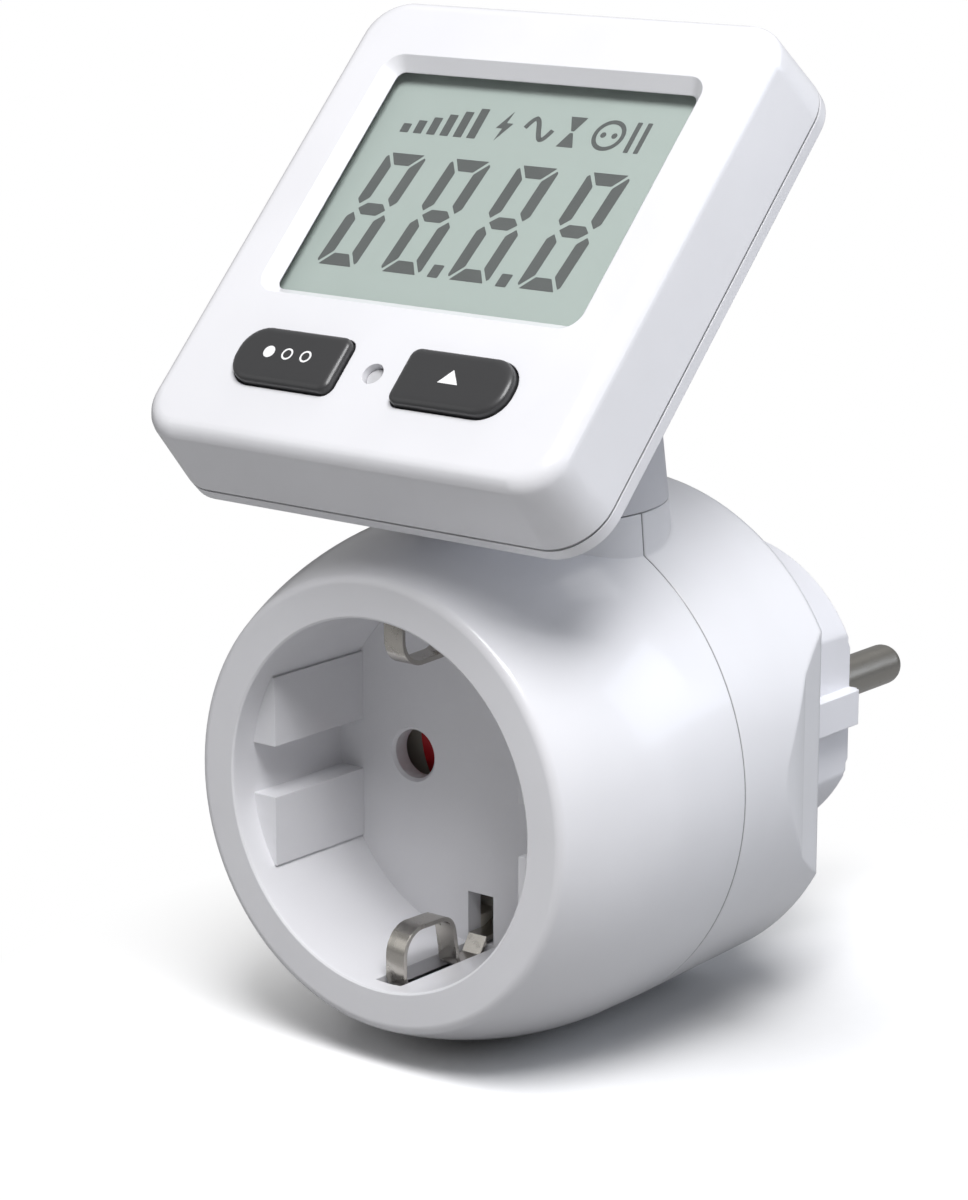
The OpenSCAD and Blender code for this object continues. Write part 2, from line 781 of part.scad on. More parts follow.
// Contact block: shutter chamber, towers for the two contacts and the well of the shutter spring
module contact_block() {
    color(cream) difference() {
        union() {
            rod_y(0, block_y, 0, block_r, block_t);
            difference() {
                rod_y(0, floor_back_y, 0, block_r, chamber_d);
                rod_y(0, floor_back_y - 1, 0, block_r - block_rim_t, chamber_d + 2);
            }
            for (x = [-pin_offset, pin_offset])
                block([x - tower_half, block_back_y, -tower_half], [x + tower_half, board_y, tower_half]);
            rod_y(0, block_y, 0, spring_well_r + 1.2, spring_well_d + 1);
            rod_y(0, floor_back_y + seat_gap, 0, spindle_r, chamber_d);
            for (a = [wing_half_angle + 7.5, -wing_half_angle - shutter_turn - 7.5])
                rod_y(peg_at * cos(a), floor_back_y + seat_gap, peg_at * sin(a), peg_r, chamber_d);
        }
        for (x = [-pin_offset, pin_offset]) {
            inner = tower_half - tower_wall;
            rod_y(x, block_y - 1, 0, pin_hole_r, over / 10);
            block([x - inner, contact_y, -inner], [x + inner, board_y + 1, inner]);
        }
        difference() {
            rod_y(0, block_y - 1, 0, spring_well_r, spring_well_d + 1);
            rod_y(0, block_y - 1, 0, spindle_r, spring_well_d + 2);
        }
        for (sz = [-1, 1]) {
            z0 = sz > 0 ? earth_slot_in : -over;
            block([-earth_slot_w / 2, floor_back_y - 1, z0],
                [earth_slot_w / 2, block_back_y + 1, z0 + over - earth_slot_in]);
            translate([0, split_y, z0]) cylinder(h = over - earth_slot_in, r = eye_r + seat_gap);
        }
        translate([0, split_y, lead_low_z - seat_gap]) cylinder(h = over, r = lead_r + seat_gap);
    }
}

// Sprung sleeve that grips a pin, with a tail to its conductor
module socket_contact(x) {
    difference() {
        union() {
            rod_y(x, contact_y, 0, contact_r, contact_len);
            block([x - contact_tail_t / 2, contact_y + contact_len - 1, -contact_tail_w / 2],
                [x + contact_tail_t / 2, board_y + 0.4, contact_tail_w / 2]);
        }
        rod_y(x, contact_y - 1, 0, contact_bore_r, contact_len);
        block([x - 0.4, contact_y - 1, -over / 10], [x + 0.4, contact_y + contact_len - 3, over / 10]);
    }
}

module live_contact() {
    color(brass) socket_contact(-pin_offset);
}

module neutral_contact() {
    color(brass) socket_contact(pin_offset);
}

// Straight strap from the neutral contact's tail to the neutral pin
module neutral_bus() {
    color(brass) block([pin_offset - contact_tail_t / 2, board_y + 0.4, -contact_tail_w / 2],
        [pin_offset + contact_tail_t / 2, pin_back_y, contact_tail_w / 2]);
}

// Current shunt from the live contact's tail to the live pin: thick tabs and a thin bridge
module shunt() {
    tab = 3;
    color(copper) union() {
        block([-pin_offset - contact_tail_t / 2, board_y + 0.4, -contact_tail_w / 2],
            [-pin_offset + contact_tail_t / 2, board_y + 0.4 + tab, contact_tail_w / 2]);
        block([-pin_offset - contact_tail_t / 4, board_y + tab, -contact_tail_w / 3],
            [-pin_offset + contact_tail_t / 4, pin_back_y - tab + 0.4, contact_tail_w / 3]);
        block([-pin_offset - contact_tail_t / 2, pin_back_y - tab, -contact_tail_w / 2],
            [-pin_offset + contact_tail_t / 2, pin_back_y, contact_tail_w / 2]);
    }
}

// Child shutter: a hub with two wings whose front faces are ramps, so that two pins turn it
module shutter_wing() {
    reach = wing_r * sin(wing_half_angle) + 0.4;
    front = floor_back_y + seat_gap + 0.05;
    difference() {
        prism_y(front, shutter_t) intersection() {
            circle(wing_r);
            polygon([[0, 0], [over * cos(wing_half_angle), over * sin(wing_half_angle)],
                [over * cos(wing_half_angle), -over * sin(wing_half_angle)]]);
        }
        translate([hub_r + 0.3, 0, 0]) rotate([90, 0, 90]) linear_extrude(over)
            polygon([[front - 1, -reach], [front, -reach], [front + shutter_t - 0.5, reach], [front - 1, reach]]);
    }
}

module shutter() {
    color(signal_red) difference() {
        union() {
            rod_y(0, floor_back_y + seat_gap + 0.05, 0, hub_r, shutter_t);
            shutter_wing();
            rotate([0, 180, 0]) shutter_wing();
        }
        rod_y(0, floor_back_y - 1, 0, spindle_r + hinge_run, chamber_d + 2);
    }
}

// Return spring of the shutter: a coil round the spindle in its well
module shutter_spring() {
    sides = 6;
    per_turn = 16;
    rings = spring_turns * per_turn;
    pitch = (spring_well_d - 4 * spring_wire_r) / spring_turns;
    y0 = block_y + 2 * spring_wire_r;
    function coil(i, j) = let (
        a = 360 * i / per_turn,
        b = 360 * j / sides,
        r = spring_r + spring_wire_r * cos(b) - 0.35)
        [r * cos(a), y0 + pitch * i / per_turn + spring_wire_r * sin(b), r * sin(a)];
    points = [for (i = [0:rings], j = [0:sides - 1]) coil(i, j)];
    sides_faces = [for (i = [0:rings - 1], j = [0:sides - 1], k = [0, 1]) let (
        a = i * sides + j,
        b = i * sides + (j + 1) % sides,
        c = b + sides,
        d = a + sides)
        k == 0 ? [a, c, b] : [a, d, c]];
    ends = concat(
        [for (j = [1:sides - 2]) [0, j, j + 1]],
        [for (j = [1:sides - 2]) [rings * sides, rings * sides + j + 1, rings * sides + j]]);
    color(steel) polyhedron(points = points, faces = concat(sides_faces, ends));
}

// Main board: a disc with room for the conductors, the screw columns and the earth strips
module main_board() {
    color(board_green) prism_y(board_y, board_t) difference() {
        intersection() {
            circle(board_r);
            translate([-board_half, -2 * board_r]) square([2 * board_half, 2 * board_r + collar_low - 0.4]);
        }
        for (x = [-pin_offset, pin_offset]) translate([x, 0])
            square([contact_tail_t + 2, contact_tail_w + 2], center = true);
        for (x = [-screw_x, screw_x], z = [-screw_z, screw_z])
            translate([x, z]) circle(screw_head_r + 0.3 + tunnel_wall + 0.3);
        for (z = [-1, 1]) translate([0, z * (strip_in - 0.4 + over / 2)])
            square([strip_groove_w, over], center = true);
    }
}

module film_capacitor() {
    color([0.75, 0.65, 0.2]) block([side_part_x - film_w / 2, board_y - part_gap - part_len, -film_h / 2],
        [side_part_x + film_w / 2, board_y - part_gap, film_h / 2]);
}

module bulk_capacitor() {
    color([0.15, 0.18, 0.3]) rod_y(-side_part_x, board_y - part_gap - part_len, can_z, can_r, part_len);
}

module varistor() {
    disc_y = board_y - disc_r - 1.2;
    color([0.15, 0.35, 0.6]) union() {
        rod_x(-side_part_x - disc_t / 2, disc_t / 2 - side_part_x, disc_y, disc_z, disc_r);
        for (z = [-disc_lead_at, disc_lead_at])
            rod_y(-side_part_x, disc_y, disc_z + z, disc_lead_r, board_y - part_gap - disc_y);
    }
}

module metering_chip() {
    color(black) translate([chip_x, board_back_y + part_gap + chip_t / 2, chip_z])
        cube([chip_w, chip_t, chip_h], center = true);
}

// Header on the contact block where the display lead ends
module lead_header() {
    color(cream) block([-3, block_back_y, 6], [3, split_y + 2.4, lead_low_z]);
}

// Neck: a tapered column that turns in the collar, with a knuckle for the head's ears on top
function neck_radius(z) = neck_r - (z - body_r) * tan_draft;

module neck_profile(inset, low, high, edge) {
    polygon(concat(
        [[0, low], [neck_radius(low) - inset, low]],
        arc(neck_radius(high) - inset - edge, high - edge, edge, 0, 90, 6),
        [[0, high]]));
}

// Everything behind a plane that stands d away from the tilt axis and leans as the head does at
// its most upright
module behind_head(d) {
    translate([0, hinge_y, hinge_z]) rotate([90 - head_tilt + tilt_up, 0, 0])
        block([-over, -over, -2 * over], [over, over, d]);
}

module neck_outside() {
    difference() {
        intersection() {
            translate([0, hinge_y, 0]) rotate_extrude() neck_profile(0, shoulder_z, neck_top, neck_edge);
            behind_head(neck_front);
        }
        for (sx = [-1, 1]) translate([sx * (knuckle_half + over / 2), hinge_y, ledge_z + over / 2])
            cube([over, over, over], center = true);
    }
}

module neck_inside() {
    difference() {
        intersection() {
            translate([0, hinge_y, 0]) rotate_extrude()
                neck_profile(neck_wall, shoulder_z - over / 4, neck_top - neck_wall, neck_edge - 1);
            behind_head(neck_front - neck_wall);
        }
        for (sx = [-1, 1])
            translate([sx * (knuckle_half - neck_wall + over / 2), hinge_y, ledge_z - neck_wall + over / 2])
                cube([over, over, over], center = true);
        for (sx = [-1, 1])
            rod_x(sx > 0 ? pin_inner - 1 : -knuckle_half, sx > 0 ? knuckle_half : 1 - pin_inner,
                hinge_y, hinge_z, hinge_pin_r + 1.6);
    }
}

module neck() {
    flange_low = collar_groove_low + turn_gap;
    flange_high = collar_groove_high - turn_gap;
    color(shade) difference() {
        union() {
            neck_outside();
            translate([0, hinge_y, flange_low]) cylinder(h = shoulder_z - flange_low + eps, r = spigot_r);
            translate([0, hinge_y, flange_low]) cylinder(h = flange_high - flange_low, r = flange_r);
            translate([0, hinge_y, collar_low + 0.4]) rotate([0, 0, -90 - lug_half_angle])
                rotate_extrude(angle = 2 * lug_half_angle) translate([flange_r - lug_w, 0])
                    square([lug_w, flange_low - collar_low]);
        }
        intersection() {
            neck_inside();
            translate([0, hinge_y, 0]) cylinder(h = over * 2, r = spigot_r - neck_wall);
        }
        // Slot that the display lead swings in
        block([-lead_slot_half, hinge_y - over / 4, hinge_z - 2.2], [lead_slot_half, hinge_y + 2.2, over]);
        for (sx = [-1, 1]) rod_x(sx > 0 ? pin_inner : -knuckle_half - 1, sx > 0 ? knuckle_half + 1 : -pin_inner,
            hinge_y, hinge_z, hinge_pin_r);
    }
}

// Lead from the header up the middle of the neck, on the swivel axis, to the tilt axis
module neck_lead() {
    color(black) translate([0, hinge_y, 0]) union() {
        translate([0, 0, lead_low_z]) cylinder(h = hinge_z - lead_bend - lead_low_z, r = lead_r);
        translate([0, 0, hinge_z - lead_bend]) sphere(lead_r);
    }
}

module hinge_pins() {
    ear_out = knuckle_half + seat_gap + ear_t;
    color(steel) for (sx = [-1, 1])
        rod_x(sx > 0 ? pin_inner + seat_gap : -ear_out + 0.2, sx > 0 ? ear_out - 0.2 : -pin_inner - seat_gap,
            hinge_y, hinge_z, hinge_pin_r);
}

// Head shells
front_profile = concat([[-head_draft, -front_shell_d]], [for (i = [0:fillet_steps]) let (
    t = 90 * i / fillet_steps,
    z = -face_fillet * (1 - sin(t)))
    [z / front_shell_d * head_draft + face_fillet * (1 - cos(t)), z]]);
back_profile = [[back_slope, back_z], [back_slope - 0.9, back_z + 0.3], [0.3, joint_z - back_rim - 0.25],
    [0, joint_z - back_rim], [0, joint_z]];

// Button outline, flat at its inner end and round at its outer end, grown by a margin
module button_form(grow, profile) {
    softened(-button_l / 2 - grow, button_l / 2 + grow, button_h / 2 + grow, button_corner + grow,
        button_h / 2 - button_corner / 4 + grow, profile);
}

module at_button(side) {
    translate([side * button_mid, -button_down, 0]) mirror([side < 0 ? 1 : 0, 0, 0]) children();
}

module at_head_screws() {
    for (x = [-head_screw_x, head_screw_x], y = [-head_screw_y, head_screw_y]) translate([x, y, 0]) children();
}

module head_front_shell() {
    inner = [[shell_wall - head_draft, -front_shell_d - 1], [shell_wall, -plate_t]];
    bevel = [[bevel_w, window_z - eps], [0, 0], [-0.2, 0.2]];
    color(white) head_frame() difference() {
        union() {
            difference() {
                soft_box(head_w, head_h, head_corner, front_profile);
                soft_box(head_w, head_h, head_corner, inner);
            }
            at_head_screws() translate([0, 0, -front_shell_d])
                cylinder(h = front_shell_d - plate_t / 2, r = head_boss_r);
        }
        // Bevelled window and the seat of the clear pane
        translate([0, glass_up, 0]) {
            soft_box(glass_w + 2 * bevel_w, glass_h + 2 * bevel_w, glass_corner + bevel_w, bevel);
            soft_box(glass_w + 2 * window_margin + fit_gap, glass_h + 2 * window_margin + fit_gap,
                window_corner, [[0, -over / 4], [0, window_z]]);
        }
        for (side = [-1, 1]) at_button(side) button_form(button_gap, [[0, -over / 10], [0, over / 10]]);
        translate([0, reset_y, -over / 10]) cylinder(h = over, r = reset_hole_r);
        at_head_screws() translate([0, 0, -front_shell_d - 1])
            cylinder(h = front_shell_d - plate_t / 2, r = head_screw_r + 0.03);
    }
}

module ear(x0) {
    translate([x0, 0, 0]) rotate([90, 0, 90]) linear_extrude(ear_t) hull() {
        translate([-hinge_down, hinge_w]) circle(ear_r);
        translate([-hinge_down - ear_r - 1, back_z - 0.1]) square([2 * ear_r + 2, 0.2]);
    }
}

module head_back_shell() {
    floor_z = back_z + shell_wall;
    inner = [[shell_wall * 2.2, floor_z], [shell_wall, joint_z - 0.6], [shell_wall, joint_z + 1]];
    color(white) head_frame() difference() {
        union() {
            difference() {
                union() {
                    soft_box(joint_w, joint_h, joint_r, back_profile);
                    // Inner lip that meets the front shell across the shadow gap
                    soft_box(joint_w, joint_h, joint_r, [[reveal_d, joint_z - 1], [reveal_d, -front_shell_d]]);
                }
                soft_box(joint_w, joint_h, joint_r, inner);
            }
            intersection() {
                at_head_screws() translate([0, 0, back_z + 0.5])
                    cylinder(h = -front_shell_d - back_z - 0.5, r = head_boss_r + 0.6);
                soft_box(joint_w, joint_h, joint_r, concat([for (p = back_profile) [p[0] + eps, p[1]]],
                    [[reveal_d, joint_z], [reveal_d, -front_shell_d]]));
            }
            for (x0 = [knuckle_half + seat_gap, -knuckle_half - seat_gap - ear_t]) ear(x0);
        }
        translate([0, -hinge_down, -over / 2]) cylinder(h = over / 2, r = lead_r + 0.6);
        at_head_screws() {
            translate([0, 0, -over / 2]) cylinder(h = over / 2, r = head_screw_r + 0.2);
            translate([0, 0, -over / 2])
                cylinder(h = over / 2 + back_z + head_screw_head_t + head_screw_sink,
                    r = head_screw_head_r + 0.2);
        }
        rod_x(-over / 2, over / 2, -hinge_down, hinge_w, hinge_pin_r + hinge_run);
    }
}

module head_screws() {
    color(steel) head_frame() at_head_screws() translate([0, 0, back_z + head_screw_sink]) {
        difference() {
            cylinder(h = head_screw_head_t, r = head_screw_head_r);
            for (a = [0, 90]) rotate([0, 0, a])
                translate([-head_screw_head_r * 0.6, -0.25, -1]) cube([head_screw_head_r * 1.2, 0.5, 1.6]);
        }
        translate([0, 0, head_screw_head_t])
            cylinder(h = head_d - head_screw_head_t - head_screw_sink - plate_t, r = head_screw_r);
    }
}

module lcd_window() {
    color([0.85, 0.9, 0.9, 0.4]) head_frame() translate([0, glass_up, lcd_z])
        soft_box(glass_w + 2 * window_margin, glass_h + 2 * window_margin, window_corner,
            [[0, 0], [0, window_t]]);
}

module lcd_panel() {
    color(lcd_green) head_frame() translate([-lcd_w / 2, glass_up - lcd_h / 2, lcd_z - lcd_t])
        cube([lcd_w, lcd_h, lcd_t - lcd_gap]);
}

// Conductive rubber strips that join the panel to the display board
module contact_strips() {
    color(black) head_frame() for (y = [-1, 1])
        translate([-lcd_w / 2 + 1, glass_up + y * (lcd_h / 2 - 1.3) - 1, display_board_z])
            cube([lcd_w - 2, 2, strip_h]);
}

module display_board() {
    color(board_green) head_frame() difference() {
        translate([-display_board_w / 2, -display_board_h / 2, display_board_z - board_t])
            cube([display_board_w, display_board_h, board_t]);
        at_head_screws() translate([0, 0, -over / 2]) cylinder(h = over, r = head_boss_r + 0.9);
    }
}

module display_chip() {
    color(black) head_frame() translate([0, driver_up, display_board_z - board_t - part_gap - driver_t / 2])
        cube([driver_w, driver_h, driver_t], center = true);
}

// Lead from the tilt axis through the back shell to the display board
module display_lead() {
    color(black) head_frame() translate([0, -hinge_down, hinge_w]) union() {
        translate([0, 0, lead_bend]) cylinder(h = display_board_z - board_t - hinge_w - lead_bend, r = lead_r);
        translate([0, 0, lead_bend]) sphere(lead_r);
    }
}

module key_switch(x, y) {
    translate([x, y, display_board_z]) {
        translate([-switch_half, -switch_half, 0]) cube([2 * switch_half, 2 * switch_half, switch_h]);
        cylinder(h = switch_h + plunger_h, r = 1.5);
    }
}

module key_switches() {
    color(steel) head_frame() {
        key_switch(-button_mid, -button_down);
        key_switch(button_mid, -button_down);
        key_switch(0, reset_y);
    }
}

// Large button: a crowned cap, a flange that keeps it in and a stem over its switch
module large_button() {
    cap = concat([[0, flange_z - button_flange_t / 2]], [for (i = [0:fillet_steps]) let (
        t = 90 * i / fillet_steps)
        [button_edge * (1 - cos(t)), button_rise - button_edge / 2 * (1 - sin(t))]]);
    button_form(button_flange, [[0, flange_z - button_flange_t], [0, flange_z]]);
    button_form(0, cap);
    translate([0, 0, stem_z]) cylinder(h = flange_z - stem_z - button_flange_t / 2, r = 1.6);
}

module mode_button() {
    color(black) head_frame() at_button(-1) large_button();
}

module up_button() {
    color(black) head_frame() at_button(1) large_button();
}

module reset_button() {
    color(shade) head_frame() translate([0, reset_y, 0]) union() {
        translate([0, 0, stem_z]) cylinder(h = -reset_sink - stem_z, r = reset_r);
        translate([0, 0, flange_z - button_flange_t]) cylinder(h = button_flange_t, r = reset_r + 0.8);
    }
}

front_cover();
rear_cover();
plug_body();
cover_screws();
live_pin();
neutral_pin();
upper_earth_clip();
lower_earth_clip();
upper_earth_strip();
lower_earth_strip();
earth_link();
contact_block();
live_contact();
neutral_contact();
neutral_bus();
shunt();
shutter();
shutter_spring();
main_board();
film_capacitor();
bulk_capacitor();
varistor();
metering_chip();
lead_header();
neck();
neck_lead();
hinge_pins();
head_back_shell();
head_front_shell();
head_screws();
lcd_window();
lcd_panel();
contact_strips();
display_board();
display_chip();
display_lead();
key_switches();
mode_button();
up_button();
reset_button();
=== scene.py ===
"""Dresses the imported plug-in energy meter: finishes, display figures, key marks and the studio."""

import json
import logging
import math
from dataclasses import dataclass, field, replace
from enum import Enum
from functools import cached_property
from typing import Any, Iterable, Sequence

import bmesh
import bpy
from mathutils import Matrix, Vector

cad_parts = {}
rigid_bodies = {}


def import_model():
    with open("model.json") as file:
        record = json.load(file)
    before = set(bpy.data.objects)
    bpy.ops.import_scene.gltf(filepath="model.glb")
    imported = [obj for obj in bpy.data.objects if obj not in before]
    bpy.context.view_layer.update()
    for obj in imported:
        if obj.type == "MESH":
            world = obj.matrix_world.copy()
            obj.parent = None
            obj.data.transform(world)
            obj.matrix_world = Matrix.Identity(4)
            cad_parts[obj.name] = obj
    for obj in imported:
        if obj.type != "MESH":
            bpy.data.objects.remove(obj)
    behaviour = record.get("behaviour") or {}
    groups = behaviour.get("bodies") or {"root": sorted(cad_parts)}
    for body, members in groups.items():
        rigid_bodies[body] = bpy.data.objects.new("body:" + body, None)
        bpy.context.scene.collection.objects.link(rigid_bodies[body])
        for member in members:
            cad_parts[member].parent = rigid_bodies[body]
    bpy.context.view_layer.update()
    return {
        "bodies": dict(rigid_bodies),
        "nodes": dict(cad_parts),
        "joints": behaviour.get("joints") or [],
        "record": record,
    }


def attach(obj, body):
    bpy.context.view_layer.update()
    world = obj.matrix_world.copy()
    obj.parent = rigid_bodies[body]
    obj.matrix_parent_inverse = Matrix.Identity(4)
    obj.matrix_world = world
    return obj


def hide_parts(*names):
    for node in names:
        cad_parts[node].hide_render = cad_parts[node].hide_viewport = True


log = logging.getLogger("energy_meter")

Point = tuple[float, float]
Place = tuple[float, float, float]
Colour = tuple[float, float, float]

MM = 0.001
PURE_BLACK: Colour = (0.0, 0.0, 0.0)
PURE_WHITE: Colour = (1.0, 1.0, 1.0)

CHANNEL_TOP = 255
TOE_END = 0.04045
TOE_SLOPE = 12.92
CURVE_SHIFT = 0.055
CURVE_POWER = 2.4


def linear(*channels: int) -> Colour:
    """Turns a colour written as 0 to 255 sRGB into linear values.

    Args:
        channels: Its red, green and blue channel.

    Returns:
        The three linear channels.
    """
    shares = [channel / CHANNEL_TOP for channel in channels]
    return tuple(
        share / TOE_SLOPE
        if share <= TOE_END
        else ((share + CURVE_SHIFT) / (1 + CURVE_SHIFT)) ** CURVE_POWER
        for share in shares
    )


def tinted(colour: Colour, factor: float) -> Colour:
    """Returns a colour with every channel times a factor, and none above 1."""
    return tuple(min(1.0, channel * factor) for channel in colour)


def placed(name: str, data: Any) -> bpy.types.Object:
    """Makes an object and puts it in the scene.

    Args:
        name: The object's name.
        data: Its mesh, lamp or camera.

    Returns:
        The new object.
    """
    made = bpy.data.objects.new(name, data)
    bpy.context.scene.collection.objects.link(made)
    return made


def point_at(seat: bpy.types.Object, place: Place, aim: Place) -> None:
    """Moves a lamp or camera to a place and turns it to a point.

    Args:
        seat: The lamp or camera.
        place: Its new place in millimetres.
        aim: The point it faces, in millimetres.
    """
    spot = Vector(place) * MM
    seat.location = spot
    seat.rotation_euler = (Vector(aim) * MM - spot).to_track_quat("-Z", "Y").to_euler()


class Term:
    """A number socket in a shader, on which Python's operators add Math nodes."""

    def __init__(self, shader: "Shader", socket: bpy.types.NodeSocket) -> None:
        """Keeps the shader and the socket that the term stands for."""
        self.shader = shader
        self.socket = socket

    def _apply(self, operation: str, *others: Any) -> "Term":
        """Adds one Math node.

        Args:
            operation: Name of the Math node's operation.
            others: Terms or numbers, in the order of the node's sockets.

        Returns:
            The node's result.
        """
        inputs = dict(enumerate(others))
        return self.shader.term("ShaderNodeMath", {"operation": operation}, inputs, "Value")

    def __add__(self, other: Any) -> "Term":
        """Returns self + other."""
        return self._apply("ADD", self, other)

    __radd__ = __add__

    def __sub__(self, other: Any) -> "Term":
        """Returns self - other."""
        return self._apply("SUBTRACT", self, other)

    def __rsub__(self, other: Any) -> "Term":
        """Returns other - self."""
        return self._apply("SUBTRACT", other, self)

    def __mul__(self, other: Any) -> "Term":
        """Returns self * other."""
        return self._apply("MULTIPLY", self, other)

    __rmul__ = __mul__

    def __abs__(self) -> "Term":
        """Returns the absolute value."""
        return self._apply("ABSOLUTE", self)

    def ramp(self, low: float, high: float, start: float, end: float) -> "Term":
        """Carries the span low to high over to start to end, and holds it there.

        Args:
            low: Value at which the result is start.
            high: Value at which the result is end.
            start: Result at and below low.
            end: Result at and above high.

        Returns:
            The carried value.
        """
        inputs = {"Value": self, "From Min": low, "From Max": high, "To Min": start, "To Max": end}
        return self.shader.term("ShaderNodeMapRange", {"clamp": True}, inputs, "Result")


@dataclass(frozen=True)
class Grain:
    """One layer of soft noise in a finish.

    Attributes:
        per_mm: Features for each millimetre.
        detail: Layers of finer noise in it.
        rough: Roughness that it adds, or that it swings around the mean.
        relief: Share of it in the finish's relief.
    """

    per_mm: float
    detail: float
    rough: float = 0.0
    relief: float = 1.0


class Shader:
    """The node tree of a material or of the world, with positions on the object.

    Attributes:
        noise_roughness: Strength of each finer layer of noise against the one before.
        edge_samples: Samples of the node that rounds sharp edges off.
        mix_inputs: Indices of a colour Mix node's factor and of its two colours.
        mix_output: Index of its mixed colour.
    """

    noise_roughness = 0.55
    edge_samples = 6
    mix_inputs = (0, 6, 7)
    mix_output = 2

    def __init__(self, owner: bpy.types.ID) -> None:
        """Starts an empty tree.

        Args:
            owner: The new material or world that the tree belongs to.
        """
        self.owner = owner
        self.owner.use_nodes = True
        self.tree = owner.node_tree
        self.tree.nodes.clear()

    @classmethod
    def of_material(cls, name: str) -> "Shader":
        """Starts the tree of a new material."""
        return cls(bpy.data.materials.new(name))

    @cached_property
    def place(self) -> bpy.types.NodeSocket:
        """Returns the position on the object in metres."""
        return self.node("ShaderNodeTexCoord", {}, {}).outputs["Object"]

    def node(self, kind: str, settings: dict[str, Any], inputs: dict[Any, Any]) -> bpy.types.Node:
        """Adds a node of any type.

        Args:
            kind: The node's type name.
            settings: Attributes that are set first.
            inputs: Values, terms or sockets by the name or index of the node's input.

        Returns:
            The new node.
        """
        made = self.tree.nodes.new(kind)
        for key, value in settings.items():
            setattr(made, key, value)
        for key, value in inputs.items():
            if isinstance(value, Term):
                value = value.socket
            if isinstance(value, bpy.types.NodeSocket):
                self.tree.links.new(value, made.inputs[key])
            else:
                made.inputs[key].default_value = value
        return made

    def term(
        self, kind: str, settings: dict[str, Any], inputs: dict[Any, Any], output: Any
    ) -> Term:
        """Adds a node and returns one of its outputs as a term.

        Args:
            kind: The node's type name.
            settings: Attributes that are set first.
            inputs: Values, terms or sockets by input.
            output: Name or index of the output.

        Returns:
            The output as a term.
        """
        return Term(self, self.node(kind, settings, inputs).outputs[output])

    def stretched(self, across: float, along: float, up: float) -> bpy.types.NodeSocket:
        """Returns the object position in millimetres, scaled by a factor on each axis."""
        scale = (across / MM, along / MM, up / MM)
        return self.node("ShaderNodeMapping", {}, {"Vector": self.place, "Scale": scale}).outputs[0]

    def noise(self, grain: Grain, vector: Any = None) -> Term:
        """Adds soft noise.

        Args:
            grain: Its size and detail.
            vector: Position to read, or None for the plain position.

        Returns:
            Noise between 0 and 1.
        """
        source = self.stretched(1, 1, 1) if vector is None else vector
        inputs = {"Vector": source, "Scale": grain.per_mm, "Detail": grain.detail}
        inputs["Roughness"] = self.noise_roughness
        return self.term("ShaderNodeTexNoise", {}, inputs, 0)

    def blend(
        self, factor: Any, first: Any, second: Any, mode: str = "MIX"
    ) -> bpy.types.NodeSocket:
        """Mixes two colours.

        Args:
            factor: Share of the second colour, as a number or a term.
            first: A linear colour or a colour socket.
            second: The same for the second colour.
            mode: Name of the Mix node's blend type.

        Returns:
            The mixed colour.
        """
        settings = {"data_type": "RGBA", "blend_type": mode, "clamp_factor": True}
        colours = [(*part, 1.0) if isinstance(part, tuple) else part for part in (first, second)]
        inputs = dict(zip(self.mix_inputs, (factor, *colours)))
        return self.node("ShaderNodeMix", settings, inputs).outputs[self.mix_output]

    def layered(
        self, factor: Term, first: bpy.types.Node, second: bpy.types.Node
    ) -> bpy.types.Node:
        """Mixes two surfaces.

        Args:
            factor: Share of the second surface.
            first: The node of the first surface.
            second: The node of the second surface.

        Returns:
            The node of the mixed surface.
        """
        inputs = {0: factor, 1: first.outputs[0], 2: second.outputs[0]}
        return self.node("ShaderNodeMixShader", {}, inputs)

    def bumped(self, height: Term, depth_mm: float, edge_mm: float = 0.0) -> bpy.types.NodeSocket:
        """Turns a height into a normal, over edges that are rounded off.

        Args:
            height: Height between 0 and 1.
            depth_mm: Real depth of the relief.
            edge_mm: Radius of the small round on every sharp edge, or 0 for none.

        Returns:
            The normal.
        """
        inputs: dict[Any, Any] = {"Height": height, "Strength": 1.0, "Distance": depth_mm * MM}
        if edge_mm > 0:
            settings = {"samples": self.edge_samples}
            rounded = self.node("ShaderNodeBevel", settings, {"Radius": edge_mm * MM})
            inputs["Normal"] = rounded.outputs[0]
        return self.node("ShaderNodeBump", {}, inputs).outputs[0]

    def surface(self, values: dict[Any, Any]) -> bpy.types.Material:
        """Closes the material with a principled surface.

        Args:
            values: Values or links of its sockets.

        Returns:
            The finished material.
        """
        body = self.node("ShaderNodeBsdfPrincipled", {}, values)
        self.node("ShaderNodeOutputMaterial", {}, {"Surface": body.outputs[0]})
        return self.owner


@dataclass(frozen=True)
class Seam:
    """The plane in which two mouldings meet, with a dark line painted along the joint as painted
    shade in its groove.

    Attributes:
        facing: Unit vector across the plane.
        offset_mm: Distance of the plane from the frame's origin along that vector.
        half_mm: Half the width of the dark line.
        blur: Share of that width over which the line fades, to each side.
        depth: Share of its brightness that the plastic loses there.
        joint_shade_colour: Linear colour of the painted shade in the joint.
    """

    facing: Place
    offset_mm: float
    half_mm: float = 0.1
    blur: float = 0.3
    depth: float = 0.62
    joint_shade_colour: Colour = (0.02, 0.02, 0.022)

    def paint_joint_shade(self, shader: Shader, tone: bpy.types.NodeSocket) -> bpy.types.NodeSocket:
        """Paints the shade of the joint's groove over a colour.

        Args:
            shader: The shader to draw in.
            tone: The colour of the plastic without the painted shade.

        Returns:
            The colour with its dark line.
        """
        aim = {0: shader.stretched(1, 1, 1), 1: self.facing}
        height = shader.term("ShaderNodeVectorMath", {"operation": "DOT_PRODUCT"}, aim, "Value")
        near, far = self.half_mm * (1 - self.blur), self.half_mm * (1 + self.blur)
        shade = abs(height - self.offset_mm).ramp(near, far, self.depth, 0.0)
        return shader.blend(shade, tone, self.joint_shade_colour)


